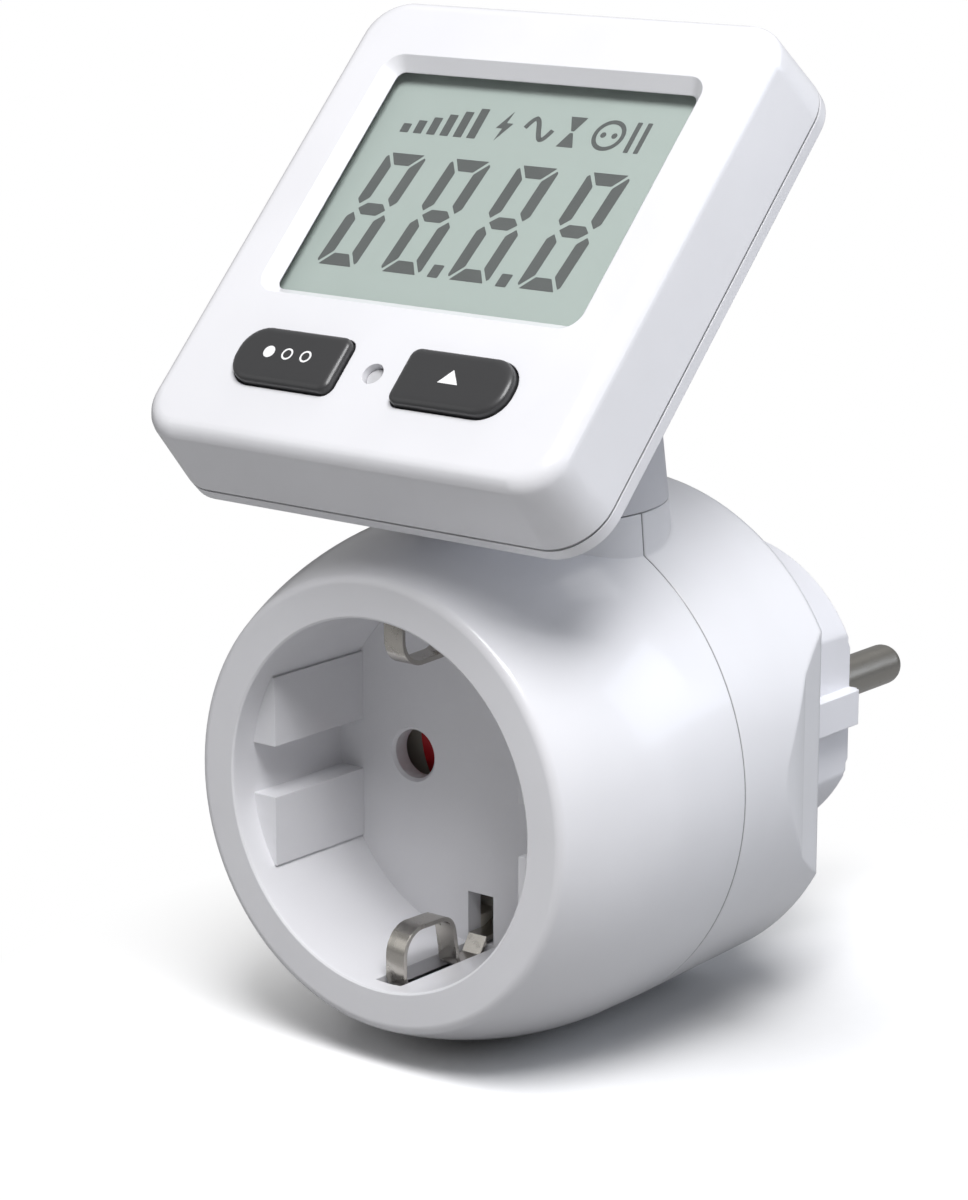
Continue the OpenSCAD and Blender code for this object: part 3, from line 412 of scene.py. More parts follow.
@dataclass(frozen=True)
class MouldedPlastic:
    """Opaque moulded plastic with a fine tool grain and slight unevenness.

    Attributes:
        name: The material's name.
        colour: Linear colour.
        roughness: Mean roughness.
        relief_mm: Depth of the tool grain.
        edge_mm: Radius of its soft edges.
        coat: Weight of the polished skin over it.
        seam: The joint that crosses it, along which a line of painted shade is drawn, or None.
        coat_roughness: Roughness of the polished skin.
        index: Refractive index.
        cloud: The faint clouds.
        cloud_span: Noise values between which a cloud fades.
        cloud_share: Share of its brightness that the plastic keeps in a cloud.
        flow: The flow marks.
        pits: The tool grain.
    """

    name: str
    colour: Colour
    roughness: float = 0.4
    relief_mm: float = 0.006
    edge_mm: float = 0.25
    coat: float = 0.0
    seam: Seam | None = None
    coat_roughness: float = 0.1
    index: float = 1.49
    cloud: Grain = Grain(0.06, 2.0)
    cloud_span: Point = (0.35, 0.65)
    cloud_share: float = 0.965
    flow: Grain = Grain(0.4, 3.0, 0.08, 0.2)
    pits: Grain = Grain(5.0, 2.0, 0.05, 0.8)

    def build(self) -> bpy.types.Material:
        """Builds the material.

        Returns:
            The material.
        """
        shader = Shader.of_material(self.name)
        cloud, pits, flow = (shader.noise(grain) for grain in (self.cloud, self.pits, self.flow))
        clear = cloud.ramp(*self.cloud_span, 0.0, 1.0)
        tone = shader.blend(clear, tinted(self.colour, self.cloud_share), self.colour)
        # Painted shade: a dark line along the joint stands in for the shade in its groove.
        if self.seam is not None:
            tone = self.seam.paint_joint_shade(shader, tone)
        rough = self.roughness + (flow - 0.5) * self.flow.rough
        relief = pits * self.pits.relief + flow * self.flow.relief
        return shader.surface(
            {
                "Base Color": tone,
                "Roughness": rough + (pits - 0.5) * self.pits.rough,
                "Normal": shader.bumped(relief, self.relief_mm, self.edge_mm),
                "IOR": self.index,
                "Coat Weight": self.coat,
                "Coat Roughness": self.coat_roughness,
            }
        )


@dataclass(frozen=True)
class RolledMetal:
    """Plated or rolled metal with fine lines along its working direction.

    Attributes:
        name: The material's name.
        colour: Linear colour.
        roughness: Mean roughness.
        stretch: Stretch of the lines on each axis, small along them.
        relief_mm: Depth of the lines.
        edge_mm: Radius of its soft edges.
        lines: The lines.
        tarnish: The tarnish.
        tarnish_span: Noise values between which the tarnish sets in.
        tarnish_share: Share of its brightness that tarnished metal keeps.
        tarnish_cover: Share of the tarnish's colour where it is strongest.
    """

    name: str
    colour: Colour
    roughness: float = 0.24
    stretch: Place = (6.0, 0.4, 6.0)
    relief_mm: float = 0.002
    edge_mm: float = 0.08
    lines: Grain = Grain(1.0, 4.0, 0.1)
    tarnish: Grain = Grain(0.7, 4.0, 0.12)
    tarnish_span: Point = (0.55, 0.8)
    tarnish_share: float = 0.72
    tarnish_cover: float = 0.6

    def build(self) -> bpy.types.Material:
        """Builds the material.

        Returns:
            The material.
        """
        shader = Shader.of_material(self.name)
        lines = shader.noise(self.lines, shader.stretched(*self.stretch))
        tarnish = shader.noise(self.tarnish)
        cover = tarnish.ramp(*self.tarnish_span, 0.0, self.tarnish_cover)
        dull = tinted(self.colour, self.tarnish_share)
        rough = self.roughness + (lines - 0.5) * self.lines.rough
        return shader.surface(
            {
                "Base Color": shader.blend(cover, self.colour, dull),
                "Metallic": 1.0,
                "Roughness": rough + tarnish.ramp(*self.tarnish_span, 0.0, self.tarnish.rough),
                "Normal": shader.bumped(lines, self.relief_mm, self.edge_mm),
            }
        )


@dataclass(frozen=True)
class CircuitLaminate:
    """Solder mask over copper tracks on a glass-fibre board.

    Attributes:
        name: The material's name.
        mask: Linear colour of the mask.
        track: Linear colour of the mask over a track.
        roughness: Least roughness.
        relief_mm: Depth of the relief.
        tracks_per_mm: Tracks for each millimetre.
        track_span: Distance from a track's middle, in parts of a cell, over which it ends.
        track_relief: Share of the tracks in the relief.
        weave: The glass weave.
    """

    name: str
    mask: Colour
    track: Colour
    roughness: float = 0.3
    relief_mm: float = 0.03
    tracks_per_mm: float = 0.55
    track_span: Point = (0.1, 0.13)
    track_relief: float = 0.8
    weave: Grain = Grain(3.0, 2.0, 0.12, 0.1)

    def build(self) -> bpy.types.Material:
        """Builds the material.

        Returns:
            The material.
        """
        shader = Shader.of_material(self.name)
        inputs = {"Vector": shader.stretched(1, 1, 1), "Scale": self.tracks_per_mm}
        cell = shader.term("ShaderNodeTexVoronoi", {"feature": "DISTANCE_TO_EDGE"}, inputs, 0)
        tracks = cell.ramp(*self.track_span, 1.0, 0.0)
        weave = shader.noise(self.weave)
        relief = tracks * self.track_relief + weave * self.weave.relief
        return shader.surface(
            {
                "Base Color": shader.blend(tracks, self.mask, self.track),
                "Roughness": self.roughness + weave * self.weave.rough,
                "Normal": shader.bumped(relief, self.relief_mm),
            }
        )


@dataclass(frozen=True)
class CrystalPanel:
    """Reflective liquid crystal panel with a faint sparkle and a slow drift in its tone.

    Attributes:
        name: The material's name.
        colour: Linear colour of the panel.
        roughness: Least roughness.
        relief_mm: Depth of the sparkle's relief.
        sparkle: The sparkle.
        drift: The drift.
        tone_shares: Shares of the drift and of the sparkle in the tone.
        dim_share: Share of its brightness that the panel keeps where it is dimmest.
    """

    name: str
    colour: Colour
    roughness: float = 0.5
    relief_mm: float = 0.002
    sparkle: Grain = Grain(7.0, 1.0, 0.1)
    drift: Grain = Grain(0.035, 1.0)
    tone_shares: Point = (0.7, 0.3)
    dim_share: float = 0.93

    def build(self) -> bpy.types.Material:
        """Builds the material.

        Returns:
            The material.
        """
        shader = Shader.of_material(self.name)
        sparkle = shader.noise(self.sparkle)
        share = shader.noise(self.drift) * self.tone_shares[0] + sparkle * self.tone_shares[1]
        dim = tinted(self.colour, self.dim_share)
        return shader.surface(
            {
                "Base Color": shader.blend(share, dim, self.colour),
                "Roughness": self.roughness + sparkle * self.sparkle.rough,
                "Normal": shader.bumped(sparkle, self.relief_mm),
            }
        )


@dataclass(frozen=True)
class ClearPane:
    """Clear hard-coated pane that lets the panel show through.

    Attributes:
        name: The material's name.
        clean: Linear colour of the clean coating.
        smeared: Linear colour of the coating under a smear.
        roughness: Least roughness.
        index: Refractive index.
        smear: The smears.
        smear_span: Noise values between which a smear sets in.
        haze: Opacity of the clean pane and of the pane under a smear.
    """

    name: str
    clean: Colour = (0.72, 0.78, 0.76)
    smeared: Colour = (0.8, 0.85, 0.83)
    roughness: float = 0.06
    index: float = 1.46
    smear: Grain = Grain(0.2, 3.0, 0.05)
    smear_span: Point = (0.3, 0.7)
    haze: Point = (0.02, 0.03)

    def build(self) -> bpy.types.Material:
        """Builds the material.

        Returns:
            The material.
        """
        shader = Shader.of_material(self.name)
        smear = shader.noise(self.smear)
        return shader.surface(
            {
                "Base Color": shader.blend(smear, self.clean, self.smeared),
                "Roughness": self.roughness + smear * self.smear.rough,
                "Alpha": smear.ramp(*self.smear_span, *self.haze),
                "IOR": self.index,
            }
        )


@dataclass(frozen=True)
class PrintedInk:
    """Thin opaque print, such as liquid crystal segments and key marks.

    Attributes:
        name: The material's name.
        colour: Linear colour.
        roughness: Least roughness.
        relief_mm: Depth of the flecks.
        fleck: The flecks.
        fleck_share: Brightness of a fleck against the print.
    """

    name: str
    colour: Colour
    roughness: float = 0.5
    relief_mm: float = 0.002
    fleck: Grain = Grain(9.0, 2.0, 0.12)
    fleck_share: float = 1.12

    def build(self) -> bpy.types.Material:
        """Builds the material.

        Returns:
            The material.
        """
        shader = Shader.of_material(self.name)
        fleck = shader.noise(self.fleck)
        lighter = tinted(self.colour, self.fleck_share)
        return shader.surface(
            {
                "Base Color": shader.blend(fleck, self.colour, lighter),
                "Roughness": self.roughness + fleck * self.fleck.rough,
                "Normal": shader.bumped(fleck, self.relief_mm),
            }
        )


# Joints between mouldings, each drawn on the plastic as a dark line of painted shade.
BODY_SEAM = Seam((0.0, 1.0, 0.0), -39.4)
HEAD_SEAM = Seam((0.0, -0.7163, 0.6978), 69.0)
WHITE_SHELL = MouldedPlastic(
    "white_housing_plastic", linear(230, 230, 233), 0.36, 0.003, 0.12, 0.35, BODY_SEAM
)


class Finish(Enum):
    """Every finish on the meter."""

    HOUSING = WHITE_SHELL
    REAR = replace(WHITE_SHELL, name="white_rear_plastic", edge_mm=0.8)
    HEAD = replace(WHITE_SHELL, name="white_head_plastic", seam=HEAD_SEAM)
    PLUG = MouldedPlastic("white_plug_plastic", linear(230, 230, 234), 0.42, 0.008, 0.12)
    # Painted shade: the neck is the housing's white plastic made darker for the shade that the head
    # casts on it.
    NECK = MouldedPlastic("neck_plastic_painted_shade", linear(208, 208, 212), 0.45, 0.008, 0.15)
    KEYS = MouldedPlastic("black_key_plastic", linear(54, 54, 55), 0.36, 0.002, 0.3, 0.12)
    RESET = MouldedPlastic("grey_key_plastic", linear(190, 190, 192), 0.4, 0.006, 0.1)
    SHUTTER = MouldedPlastic("red_shutter_plastic", linear(176, 18, 30), 0.42, 0.008, 0.15)
    BLOCK = MouldedPlastic("cream_block_plastic", linear(214, 210, 200), 0.5, 0.01, 0.2)
    BLACK = MouldedPlastic("black_component_plastic", linear(38, 38, 40), 0.5, 0.01, 0.1)
    JACKET = MouldedPlastic("black_lead_jacket", linear(34, 34, 36), 0.55, 0.01, 0.0)
    RUBBER = MouldedPlastic("black_elastomer", linear(42, 42, 43), 0.7, 0.015, 0.05)
    OCHRE = MouldedPlastic("ochre_capacitor_case", linear(204, 168, 62), 0.4, 0.006, 0.3)
    SLEEVE = MouldedPlastic("blue_capacitor_sleeve", linear(40, 48, 84), 0.25, 0.004, 0.2, 0.4)
    EPOXY = MouldedPlastic("blue_dipped_epoxy", linear(44, 92, 156), 0.45, 0.02, 0.3)
    NICKEL = RolledMetal("nickel_plated_strip", linear(190, 186, 179), 0.24)
    PIN = RolledMetal("nickel_plated_pin", linear(158, 155, 149), 0.3, (3.0, 0.5, 3.0))
    STEEL = RolledMetal("zinc_plated_steel", linear(190, 190, 192), 0.3, (5.0, 5.0, 5.0))
    BRASS = RolledMetal("drawn_brass", linear(214, 178, 96), 0.28)
    COPPER = RolledMetal("copper_alloy", linear(206, 132, 98), 0.3)
    BOARD = CircuitLaminate("green_circuit_board", linear(26, 84, 50), linear(52, 120, 76))
    PANEL = CrystalPanel("crystal_panel", linear(165, 177, 171))
    PANE = ClearPane("clear_pane")
    SEGMENT = PrintedInk("crystal_segment", linear(72, 75, 74))
    MARK = PrintedInk("white_key_mark", linear(232, 232, 232))

    def material(self) -> bpy.types.Material:
        """Returns the finish's material, built on its first use."""
        found = bpy.data.materials.get(self.value.name)
        return found or self.value.build()


class Workshop:
    """Turns CAD nodes into finished pieces, and seats each piece on its body.

    Attributes:
        merge_mm: Corners of a CAD mesh nearer than this are one.
        sliver_mm: Edges shorter than this are dissolved.
        even_weight: How far the largest faces lead the shading of a corner.
    """

    merge_mm = 0.002
    sliver_mm = 0.001
    even_weight = 80

    def __init__(self, frame: dict[str, Any]) -> None:
        """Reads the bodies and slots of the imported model.
        """
        self.nodes: dict[str, bpy.types.Object] = frame["nodes"]
        record = frame["record"]
        self.body_of = {
            node: body for body, nodes in record["behaviour"]["bodies"].items() for node in nodes
        }
        self.slot_of = {part["node"]: part["material_slot"] for part in record["subparts"]}

    def dress(self, node: str, finish: Finish) -> None:
        """Gives a CAD node its finish and leaves its mesh as it is.

        Args:
            node: The node's name.
            finish: Its finish.
        """
        materials = self.nodes[node].data.materials
        materials.clear()
        materials.append(finish.material())
        log.info("dressed %s in %s", node, finish.value.name)

    def merged(self, node: str) -> bpy.types.Mesh:
        """Copies a CAD node's mesh with its corners merged and its stored normals dropped.

        Args:
            node: The node's name.

        Returns:
            The new mesh.
        """
        mesh = self.nodes[node].data.copy()
        build = bmesh.new()
        build.from_mesh(mesh)
        bmesh.ops.remove_doubles(build, verts=build.verts, dist=self.merge_mm * MM)
        bmesh.ops.dissolve_degenerate(build, dist=self.sliver_mm * MM, edges=build.edges)
        build.to_mesh(mesh)
        build.free()
        for name in [attribute.name for attribute in mesh.attributes if "normal" in attribute.name]:
            mesh.attributes.remove(mesh.attributes[name])
        return mesh

    def smooth(self, node: str, finish: Finish, crease: float) -> None:
        """Replaces a CAD node by a merged copy of itself with smooth shading.

        Args:
            node: The node's name.
            finish: Its finish.
            crease: Edges sharper than this many degrees stay sharp.
        """
        mesh = self.merged(node)
        mesh.polygons.foreach_set("use_smooth", [True] * len(mesh.polygons))
        mesh.set_sharp_from_angle(angle=math.radians(crease))
        mesh.materials.clear()
        mesh.materials.append(finish.material())
        piece = placed(node + "_finished", mesh)
        evened = piece.modifiers.new("even_shading", "WEIGHTED_NORMAL")
        evened.keep_sharp = True
        evened.weight = self.even_weight
        self.seat(piece, self.body_of[node], self.slot_of[node])
        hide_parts(node)

    @staticmethod
    def seat(piece: bpy.types.Object, body: str, slot: str) -> None:
        """Lets a piece ride on a body.

        Args:
            piece: The finished piece.
            body: The body that carries it.
            slot: The record's material slot; not used.
        """
        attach(piece, body)
        log.info("%s rides on %s: %d faces", piece.name, body, len(piece.data.polygons))


@dataclass
class FacePlane:
    """The display head's own plane: u across, v up the face, w out of it, all in millimetres.

    Attributes:
        lean: Degrees from upright.
        axis_y: Place of the tilt axis along Y.
        axis_z: Height of the tilt axis.
        axis_below: Distance of the tilt axis below the middle of the face, along the face.
        axis_behind: Distance of the tilt axis behind the face.
    """

    lean: float = 44.25
    axis_y: float = -39.4
    axis_z: float = 43.75
    axis_below: float = 2.5
    axis_behind: float = 20.0

    def matrix(self) -> Matrix:
        """Works out where the plane lies.

        Returns:
            The matrix from the plane's millimetres to the frame's metres.
        """
        turn = Matrix.Rotation(math.radians(90 - self.lean), 4, "X")
        start = Matrix.Translation((0, self.axis_y * MM, self.axis_z * MM))
        shift = Matrix.Translation((0, self.axis_below * MM, self.axis_behind * MM))
        return start @ turn @ shift @ Matrix.Scale(MM, 4)


@dataclass
class FlatMarks:
    """Thin plates that are drawn on the head's face and gathered into one piece.

    Attributes:
        plane: The face they lie on.
        level: Height of their underside over the face's plane, in millimetres.
        corner: Radius of their softened corners in millimetres.
        thickness: Their thickness in millimetres.
        corner_steps: Edges in a softened corner.
        circle_sides: Sides of a circle.
        wave_steps: Straight parts of a wave.
        build: The pieces drawn so far.
    """

    plane: FacePlane
    level: float
    corner: float = 0.1
    thickness: float = 0.015
    corner_steps: int = 3
    circle_sides: int = 40
    wave_steps: int = 28
    build: bmesh.types.BMesh = field(default_factory=bmesh.new)

    def plate(self, outline: Iterable[Point], corner: float | None = None) -> None:
        """Adds a plate with the given outline.

        Args:
            outline: Corners in order, as u and v.
            corner: Radius of its corners, or None for the usual one.
        """
        work = bmesh.new()
        corners = [work.verts.new((u, v, self.level)) for u, v in outline]
        work.faces.new(corners)
        bmesh.ops.bevel(
            work, geom=corners, offset=self.corner if corner is None else corner,
            offset_type="OFFSET", affect="VERTICES", segments=self.corner_steps, profile=0.5,
            material=-1, clamp_overlap=True,
        )
        self._raise(work)

    def ring(
        self, middle: Point, outer: float, inner: float = 0.0, sides: int | None = None
    ) -> None:
        """Adds a flat ring, or a disc where the inner radius is 0.

        Args:
            middle: Its middle, as u and v.
            outer: Outer radius.
            inner: Inner radius.
            sides: Sides of the circle, or None for the usual number.
        """
        work = bmesh.new()
        bmesh.ops.create_circle(
            work, cap_ends=True, cap_tris=False, segments=sides or self.circle_sides, radius=outer,
            matrix=Matrix.Translation((*middle, self.level)),
        )
        if inner > 0:
            hole = bmesh.ops.inset_region(
                work, faces=work.faces[:], thickness=outer - inner, use_boundary=True
            )
            rim = set(hole["faces"])
            inside = [face for face in work.faces if face not in rim]
            bmesh.ops.delete(work, geom=inside, context="FACES_ONLY")
        self._raise(work)

    def wave(self, middle: Point, length: float, swing: float, width: float) -> None:
        """Adds one period of a wave.

        Args:
            middle: Its middle, as u and v.
            length: Its length.
            swing: Height of its crest over its middle.
            width: Width of the line.
        """

        def across(share: float) -> Point:
            """Works out the line's width as a step across it.

            Args:
                share: Place along the wave, 0 to 1.

            Returns:
                The step from the line's lower side to its upper side.
            """
            slope = math.cos(2 * math.pi * share) * swing * 2 * math.pi / length
            lean = math.hypot(1, slope)
            return -slope / lean * width, width / lean

        work = bmesh.new()
        below = []
        for step in range(self.wave_steps + 1):
            share = step / self.wave_steps
            aside, upward = across(share)
            x = middle[0] + (share - 0.5) * length - aside / 2
            y = middle[1] + math.sin(2 * math.pi * share) * swing - upward / 2
            below.append(work.verts.new((x, y, self.level)))
        edges = [work.edges.new(pair) for pair in zip(below, below[1:])]
        swept = bmesh.ops.extrude_edge_only(work, edges=edges)["geom"]
        above = [item for item in swept if isinstance(item, bmesh.types.BMVert)]
        for vert in above:
            share = min(max((vert.co.x - middle[0]) / length + 0.5, 0), 1)
            aside, upward = across(share)
            vert.co.x += aside
            vert.co.y += upward
        self._raise(work)

    def _raise(self, work: bmesh.types.BMesh) -> None:
        """Gives a flat drawing its thickness and adds it to the piece.

        Args:
            work: The drawing, which is freed.
        """
        bmesh.ops.recalc_face_normals(work, faces=work.faces)
        if work.faces[:] and work.faces[0].normal.z < 0:
            bmesh.ops.reverse_faces(work, faces=work.faces)
        swept = bmesh.ops.extrude_face_region(work, geom=work.faces[:], use_keep_orig=True)["geom"]
        lifted = [item for item in swept if isinstance(item, bmesh.types.BMVert)]
        bmesh.ops.translate(work, verts=lifted, vec=(0, 0, self.thickness))
        bmesh.ops.recalc_face_normals(work, faces=work.faces)
        mesh = bpy.data.meshes.new("drawing")
        work.to_mesh(mesh)
        work.free()
        self.build.from_mesh(mesh)
        bpy.data.meshes.remove(mesh)

    def finish(self, name: str, ink: Finish) -> bpy.types.Object:
        """Moves the drawing onto the head and makes it an object.

        Args:
            name: The piece's name.
            ink: Its finish.

        Returns:
            The piece, at the origin with its place in its mesh.
        """
        self.build.transform(self.plane.matrix())
        mesh = bpy.data.meshes.new(name)
        self.build.to_mesh(mesh)
        self.build.free()
        mesh.materials.append(ink.material())
        return placed(name, mesh)


@dataclass
class SubAssembly:
    """Nodes of one sub-assembly with their finishes.

    Attributes:
        workshop: Where finished pieces are seated.
        skins: Finish of every node that is shaded smoothly.
        inside: Finish of every node that is dressed as it is.
        crease: Edges of the skins sharper than this many degrees stay sharp.
    """

    workshop: Workshop
    skins: dict[str, Finish] = field(default_factory=dict)
    inside: dict[str, Finish] = field(default_factory=dict)
    crease: float = 32.0

    def make(self) -> None:
        """Finishes every node of the sub-assembly."""
        for node, finish in self.skins.items():
            self.workshop.smooth(node, finish, self.crease)
        for node, finish in self.inside.items():
            self.workshop.dress(node, finish)


@dataclass
class SocketBody(SubAssembly):
    """The meter's housing with its recess, plug, earth contacts and child shutter.

    Attributes:
        rear_crease: The same as crease, for the rear cover with its softly bowed side flats.
    """

    rear_crease: float = 6.5
    skins: dict[str, Finish] = field(
        default_factory=lambda: {
            "front_cover": Finish.HOUSING,
            "plug_body": Finish.PLUG,
            "live_pin": Finish.PIN,
            "neutral_pin": Finish.PIN,
            "upper_earth_clip": Finish.NICKEL,
            "lower_earth_clip": Finish.NICKEL,
            "cover_screws": Finish.STEEL,
            "shutter": Finish.SHUTTER,
            "contact_block": Finish.BLOCK,
        }
    )
    inside: dict[str, Finish] = field(
        default_factory=lambda: {
            "upper_earth_strip": Finish.NICKEL,
            "lower_earth_strip": Finish.NICKEL,
            "earth_link": Finish.NICKEL,
            "live_contact": Finish.BRASS,
            "neutral_contact": Finish.BRASS,
            "neutral_bus": Finish.BRASS,
            "shunt": Finish.COPPER,
            "shutter_spring": Finish.STEEL,
            "main_board": Finish.BOARD,
            "film_capacitor": Finish.OCHRE,
            "bulk_capacitor": Finish.SLEEVE,
            "varistor": Finish.EPOXY,
            "metering_chip": Finish.BLACK,
            "lead_header": Finish.BLOCK,
        }
    )

    def make(self) -> None:
        """Finishes the rear cover and then every other node of the housing."""
        self.workshop.smooth("rear_cover", Finish.REAR, self.rear_crease)
        super().make()


@dataclass
class Neck(SubAssembly):
    """The turning column with its lead and hinge pins."""

    skins: dict[str, Finish] = field(
        default_factory=lambda: {
            "neck": Finish.NECK,
            "hinge_pins": Finish.STEEL,
            "neck_lead": Finish.JACKET,
        }
    )


@dataclass
class DisplayHead(SubAssembly):
    """The display head's housing, keys and inner parts."""

    skins: dict[str, Finish] = field(
        default_factory=lambda: {
            "head_front_shell": Finish.HEAD,
            "head_back_shell": Finish.HEAD,
            "head_screws": Finish.STEEL,
            "mode_button": Finish.KEYS,
            "up_button": Finish.KEYS,
            "reset_button": Finish.RESET,
            "display_lead": Finish.JACKET,
        }
    )
    inside: dict[str, Finish] = field(
        default_factory=lambda: {
            "lcd_window": Finish.PANE,
            "lcd_panel": Finish.PANEL,
            "contact_strips": Finish.RUBBER,
            "display_board": Finish.BOARD,
            "display_chip": Finish.BLACK,
            "key_switches": Finish.STEEL,
        }
    )


@dataclass
class Figures:
    """The display's four seven-segment figures and its two points, in millimetres.

    Attributes:
        workshop: Where finished pieces are seated.
        plane: The head's face.
        middles: Places of the figures across the face.
        middle_up: Height of the figures' middle up the face.
        half_width: Half the width of a figure.
        half_height: Half the height of a figure.
        upright_bar: Thickness of the upright segments.
        level_bar: Thickness of the level segments.
        gap: Room between two segments at an inner corner.
        level_end: How far a level segment's outer corners are set in.
        shoulder: Drop of an upright segment's upper end at its outer side and at its tip.
        ankle: Height of its lower end at its inner side, at its tip and at its outer side.
        ankle_tip: Distance of that tip from the outer side.
        waist_ends: How far the middle segment's tips and its corners are set in.
        slant: Shift across for each millimetre up.
        points: Middles of the two points.
        point_half: Half the width and half the height of a point.
        point_corner: Radius of its corners.
        level: Height of the segments over the face's plane.
    """

    workshop: Workshop
    plane: FacePlane
    middles: Sequence[float] = (-14.7, -5.85, 3.2, 12.4)
    middle_up: float = 2.9
    half_width: float = 2.73
    half_height: float = 7.6
    upright_bar: float = 1.48
    level_bar: float = 1.58
    gap: float = 0.25
    level_end: float = 0.5
    shoulder: Point = (0.6, 0.35)
    ankle: tuple[float, float, float] = (1.5, 0.55, 1.2)
    ankle_tip: float = 0.6
    waist_ends: Point = (0.85, 1.7)
    slant: float = 0.1
    points: Sequence[Point] = ((-2.0, -3.9), (7.1, -4.0))
    point_half: Point = (0.7, 0.82)
    point_corner: float = 0.12
    level: float = -2.845

    def segments(self) -> list[list[Point]]:
        """Draws a figure with all its segments.

        Returns:
            The seven outlines about the figure's own middle.
        """
        half, top = self.half_width, self.half_height
        inner, under = half - self.upright_bar, top - self.level_bar
        head = [
            (-half + self.level_end, top),
            (half - self.level_end, top),
            (inner - self.gap, under),
            (-inner + self.gap, under),
        ]
        side = [
            (-half, top - self.shoulder[0]),
            (-half + self.gap, top - self.shoulder[1]),
            (-inner, under - self.gap),
            (-inner, self.ankle[0]),
            (-half + self.ankle_tip, self.ankle[1]),
            (-half, self.ankle[2]),
        ]
        tip, corner = (half - end for end in self.waist_ends)
        thick = self.level_bar / 2
        waist = [(-tip, 0), (-corner, thick), (corner, thick), (tip, 0), (corner, -thick),
                 (-corner, -thick)]
        outlines = [head, side, waist]
        outlines += [[(-x, y) for x, y in side], [(x, -y) for x, y in side]]
        outlines += [[(-x, -y) for x, y in side], [(x, -y) for x, y in head]]
        return outlines

    def lean_over(self, outline: Iterable[Point], middle: Point) -> list[Point]:
        """Returns an outline slanted and moved to a place on the face."""
        return [(middle[0] + x + self.slant * y, middle[1] + y) for x, y in outline]

    def make(self) -> None:
        """Builds the figures and the points."""
        figures = FlatMarks(self.plane, self.level)
        for middle in self.middles:
            for outline in self.segments():
                figures.plate(self.lean_over(outline, (middle, self.middle_up)))
        wide, high = self.point_half
        point = [(-wide, -high), (wide, -high), (wide, high), (-wide, high)]
        for middle in self.points:
            figures.plate(self.lean_over(point, middle), self.point_corner)
        piece = figures.finish("display_figures", Finish.SEGMENT)
        self.workshop.seat(piece, "display_head", "lcd_glass")


@dataclass
class DisplayMarks:
    """The row of plain marks over the figures, in millimetres.

    Attributes:
        workshop: Where finished pieces are seated.
        plane: The head's face.
        low: Height of the row's lower edge up the face.
        high: Height of its upper edge.
        corner: Radius of the marks' corners.
        stairs: Left edge of each rising bar and its height in parts of the row.
        stair_width: Width of a rising bar.
        bolt: The bolt's outline, with v from the row's middle.
        wave_middle: Place of the wave across the face.
        wave_sizes: Length, swing and line width of the wave.
        glass: Outline of the hourglass's upper half, with v from the row's middle.
        outlet_radii: Outer and inner radius of the outlet mark's ring.
        outlet: Places across the face of its ring and of its two dots.
        dot_radius: Radius of a dot.
        dot_sides: Sides of a dot.
        bars: Left edges of the two upright bars.
        bar_width: Width of an upright bar.
        level: Height of the marks over the face's plane.
    """

    workshop: Workshop
    plane: FacePlane
    low: float = 13.3
    high: float = 17.3
    corner: float = 0.08
    stairs: Sequence[Point] = (
        (-16.9, 0.3), (-15.05, 0.44), (-13.2, 0.58), (-11.35, 0.72), (-9.5, 0.86), (-7.65, 1.0)
    )
    stair_width: float = 1.15
    bolt: Sequence[Point] = (
        (-3.15, 2.0), (-4.5, -0.35), (-3.65, -0.35), (-3.9, -2.0), (-2.5, 0.4), (-3.4, 0.4)
    )
    wave_middle: float = 1.1
    wave_sizes: tuple[float, float, float] = (3.7, 1.35, 0.6)
    glass: Sequence[Point] = ((4.4, 2.0), (6.6, 2.0), (5.7, 0.12), (5.3, 0.12))
    outlet_radii: Point = (2.02, 1.5)
    outlet: tuple[float, float, float] = (10.3, 9.58, 11.02)
    dot_radius: float = 0.36
    dot_sides: int = 20
    bars: Sequence[float] = (13.1, 14.4)
    bar_width: float = 0.6
    level: float = -2.845

    @staticmethod
    def upright(left: float, width: float, low: float, high: float) -> list[Point]:
        """Returns the outline of an upright bar."""
        return [(left, low), (left + width, low), (left + width, high), (left, high)]

    def make(self) -> None:
        """Builds the row."""
        marks = FlatMarks(self.plane, self.level, self.corner)
        middle = (self.low + self.high) / 2
        for left, share in self.stairs:
            top = self.low + (self.high - self.low) * share
            marks.plate(self.upright(left, self.stair_width, self.low, top))
        marks.plate([(u, v + middle) for u, v in self.bolt])
        marks.wave((self.wave_middle, middle), *self.wave_sizes)
        for turn in (-1, 1):
            marks.plate([(u, v * turn + middle) for u, v in self.glass][::turn])
        ring, *dots = self.outlet
        marks.ring((ring, middle), *self.outlet_radii)
        for dot in dots:
            marks.ring((dot, middle), self.dot_radius, sides=self.dot_sides)
        for left in self.bars:
            marks.plate(self.upright(left, self.bar_width, self.low, self.high))
        piece = marks.finish("display_marks", Finish.SEGMENT)
        self.workshop.seat(piece, "display_head", "lcd_glass")


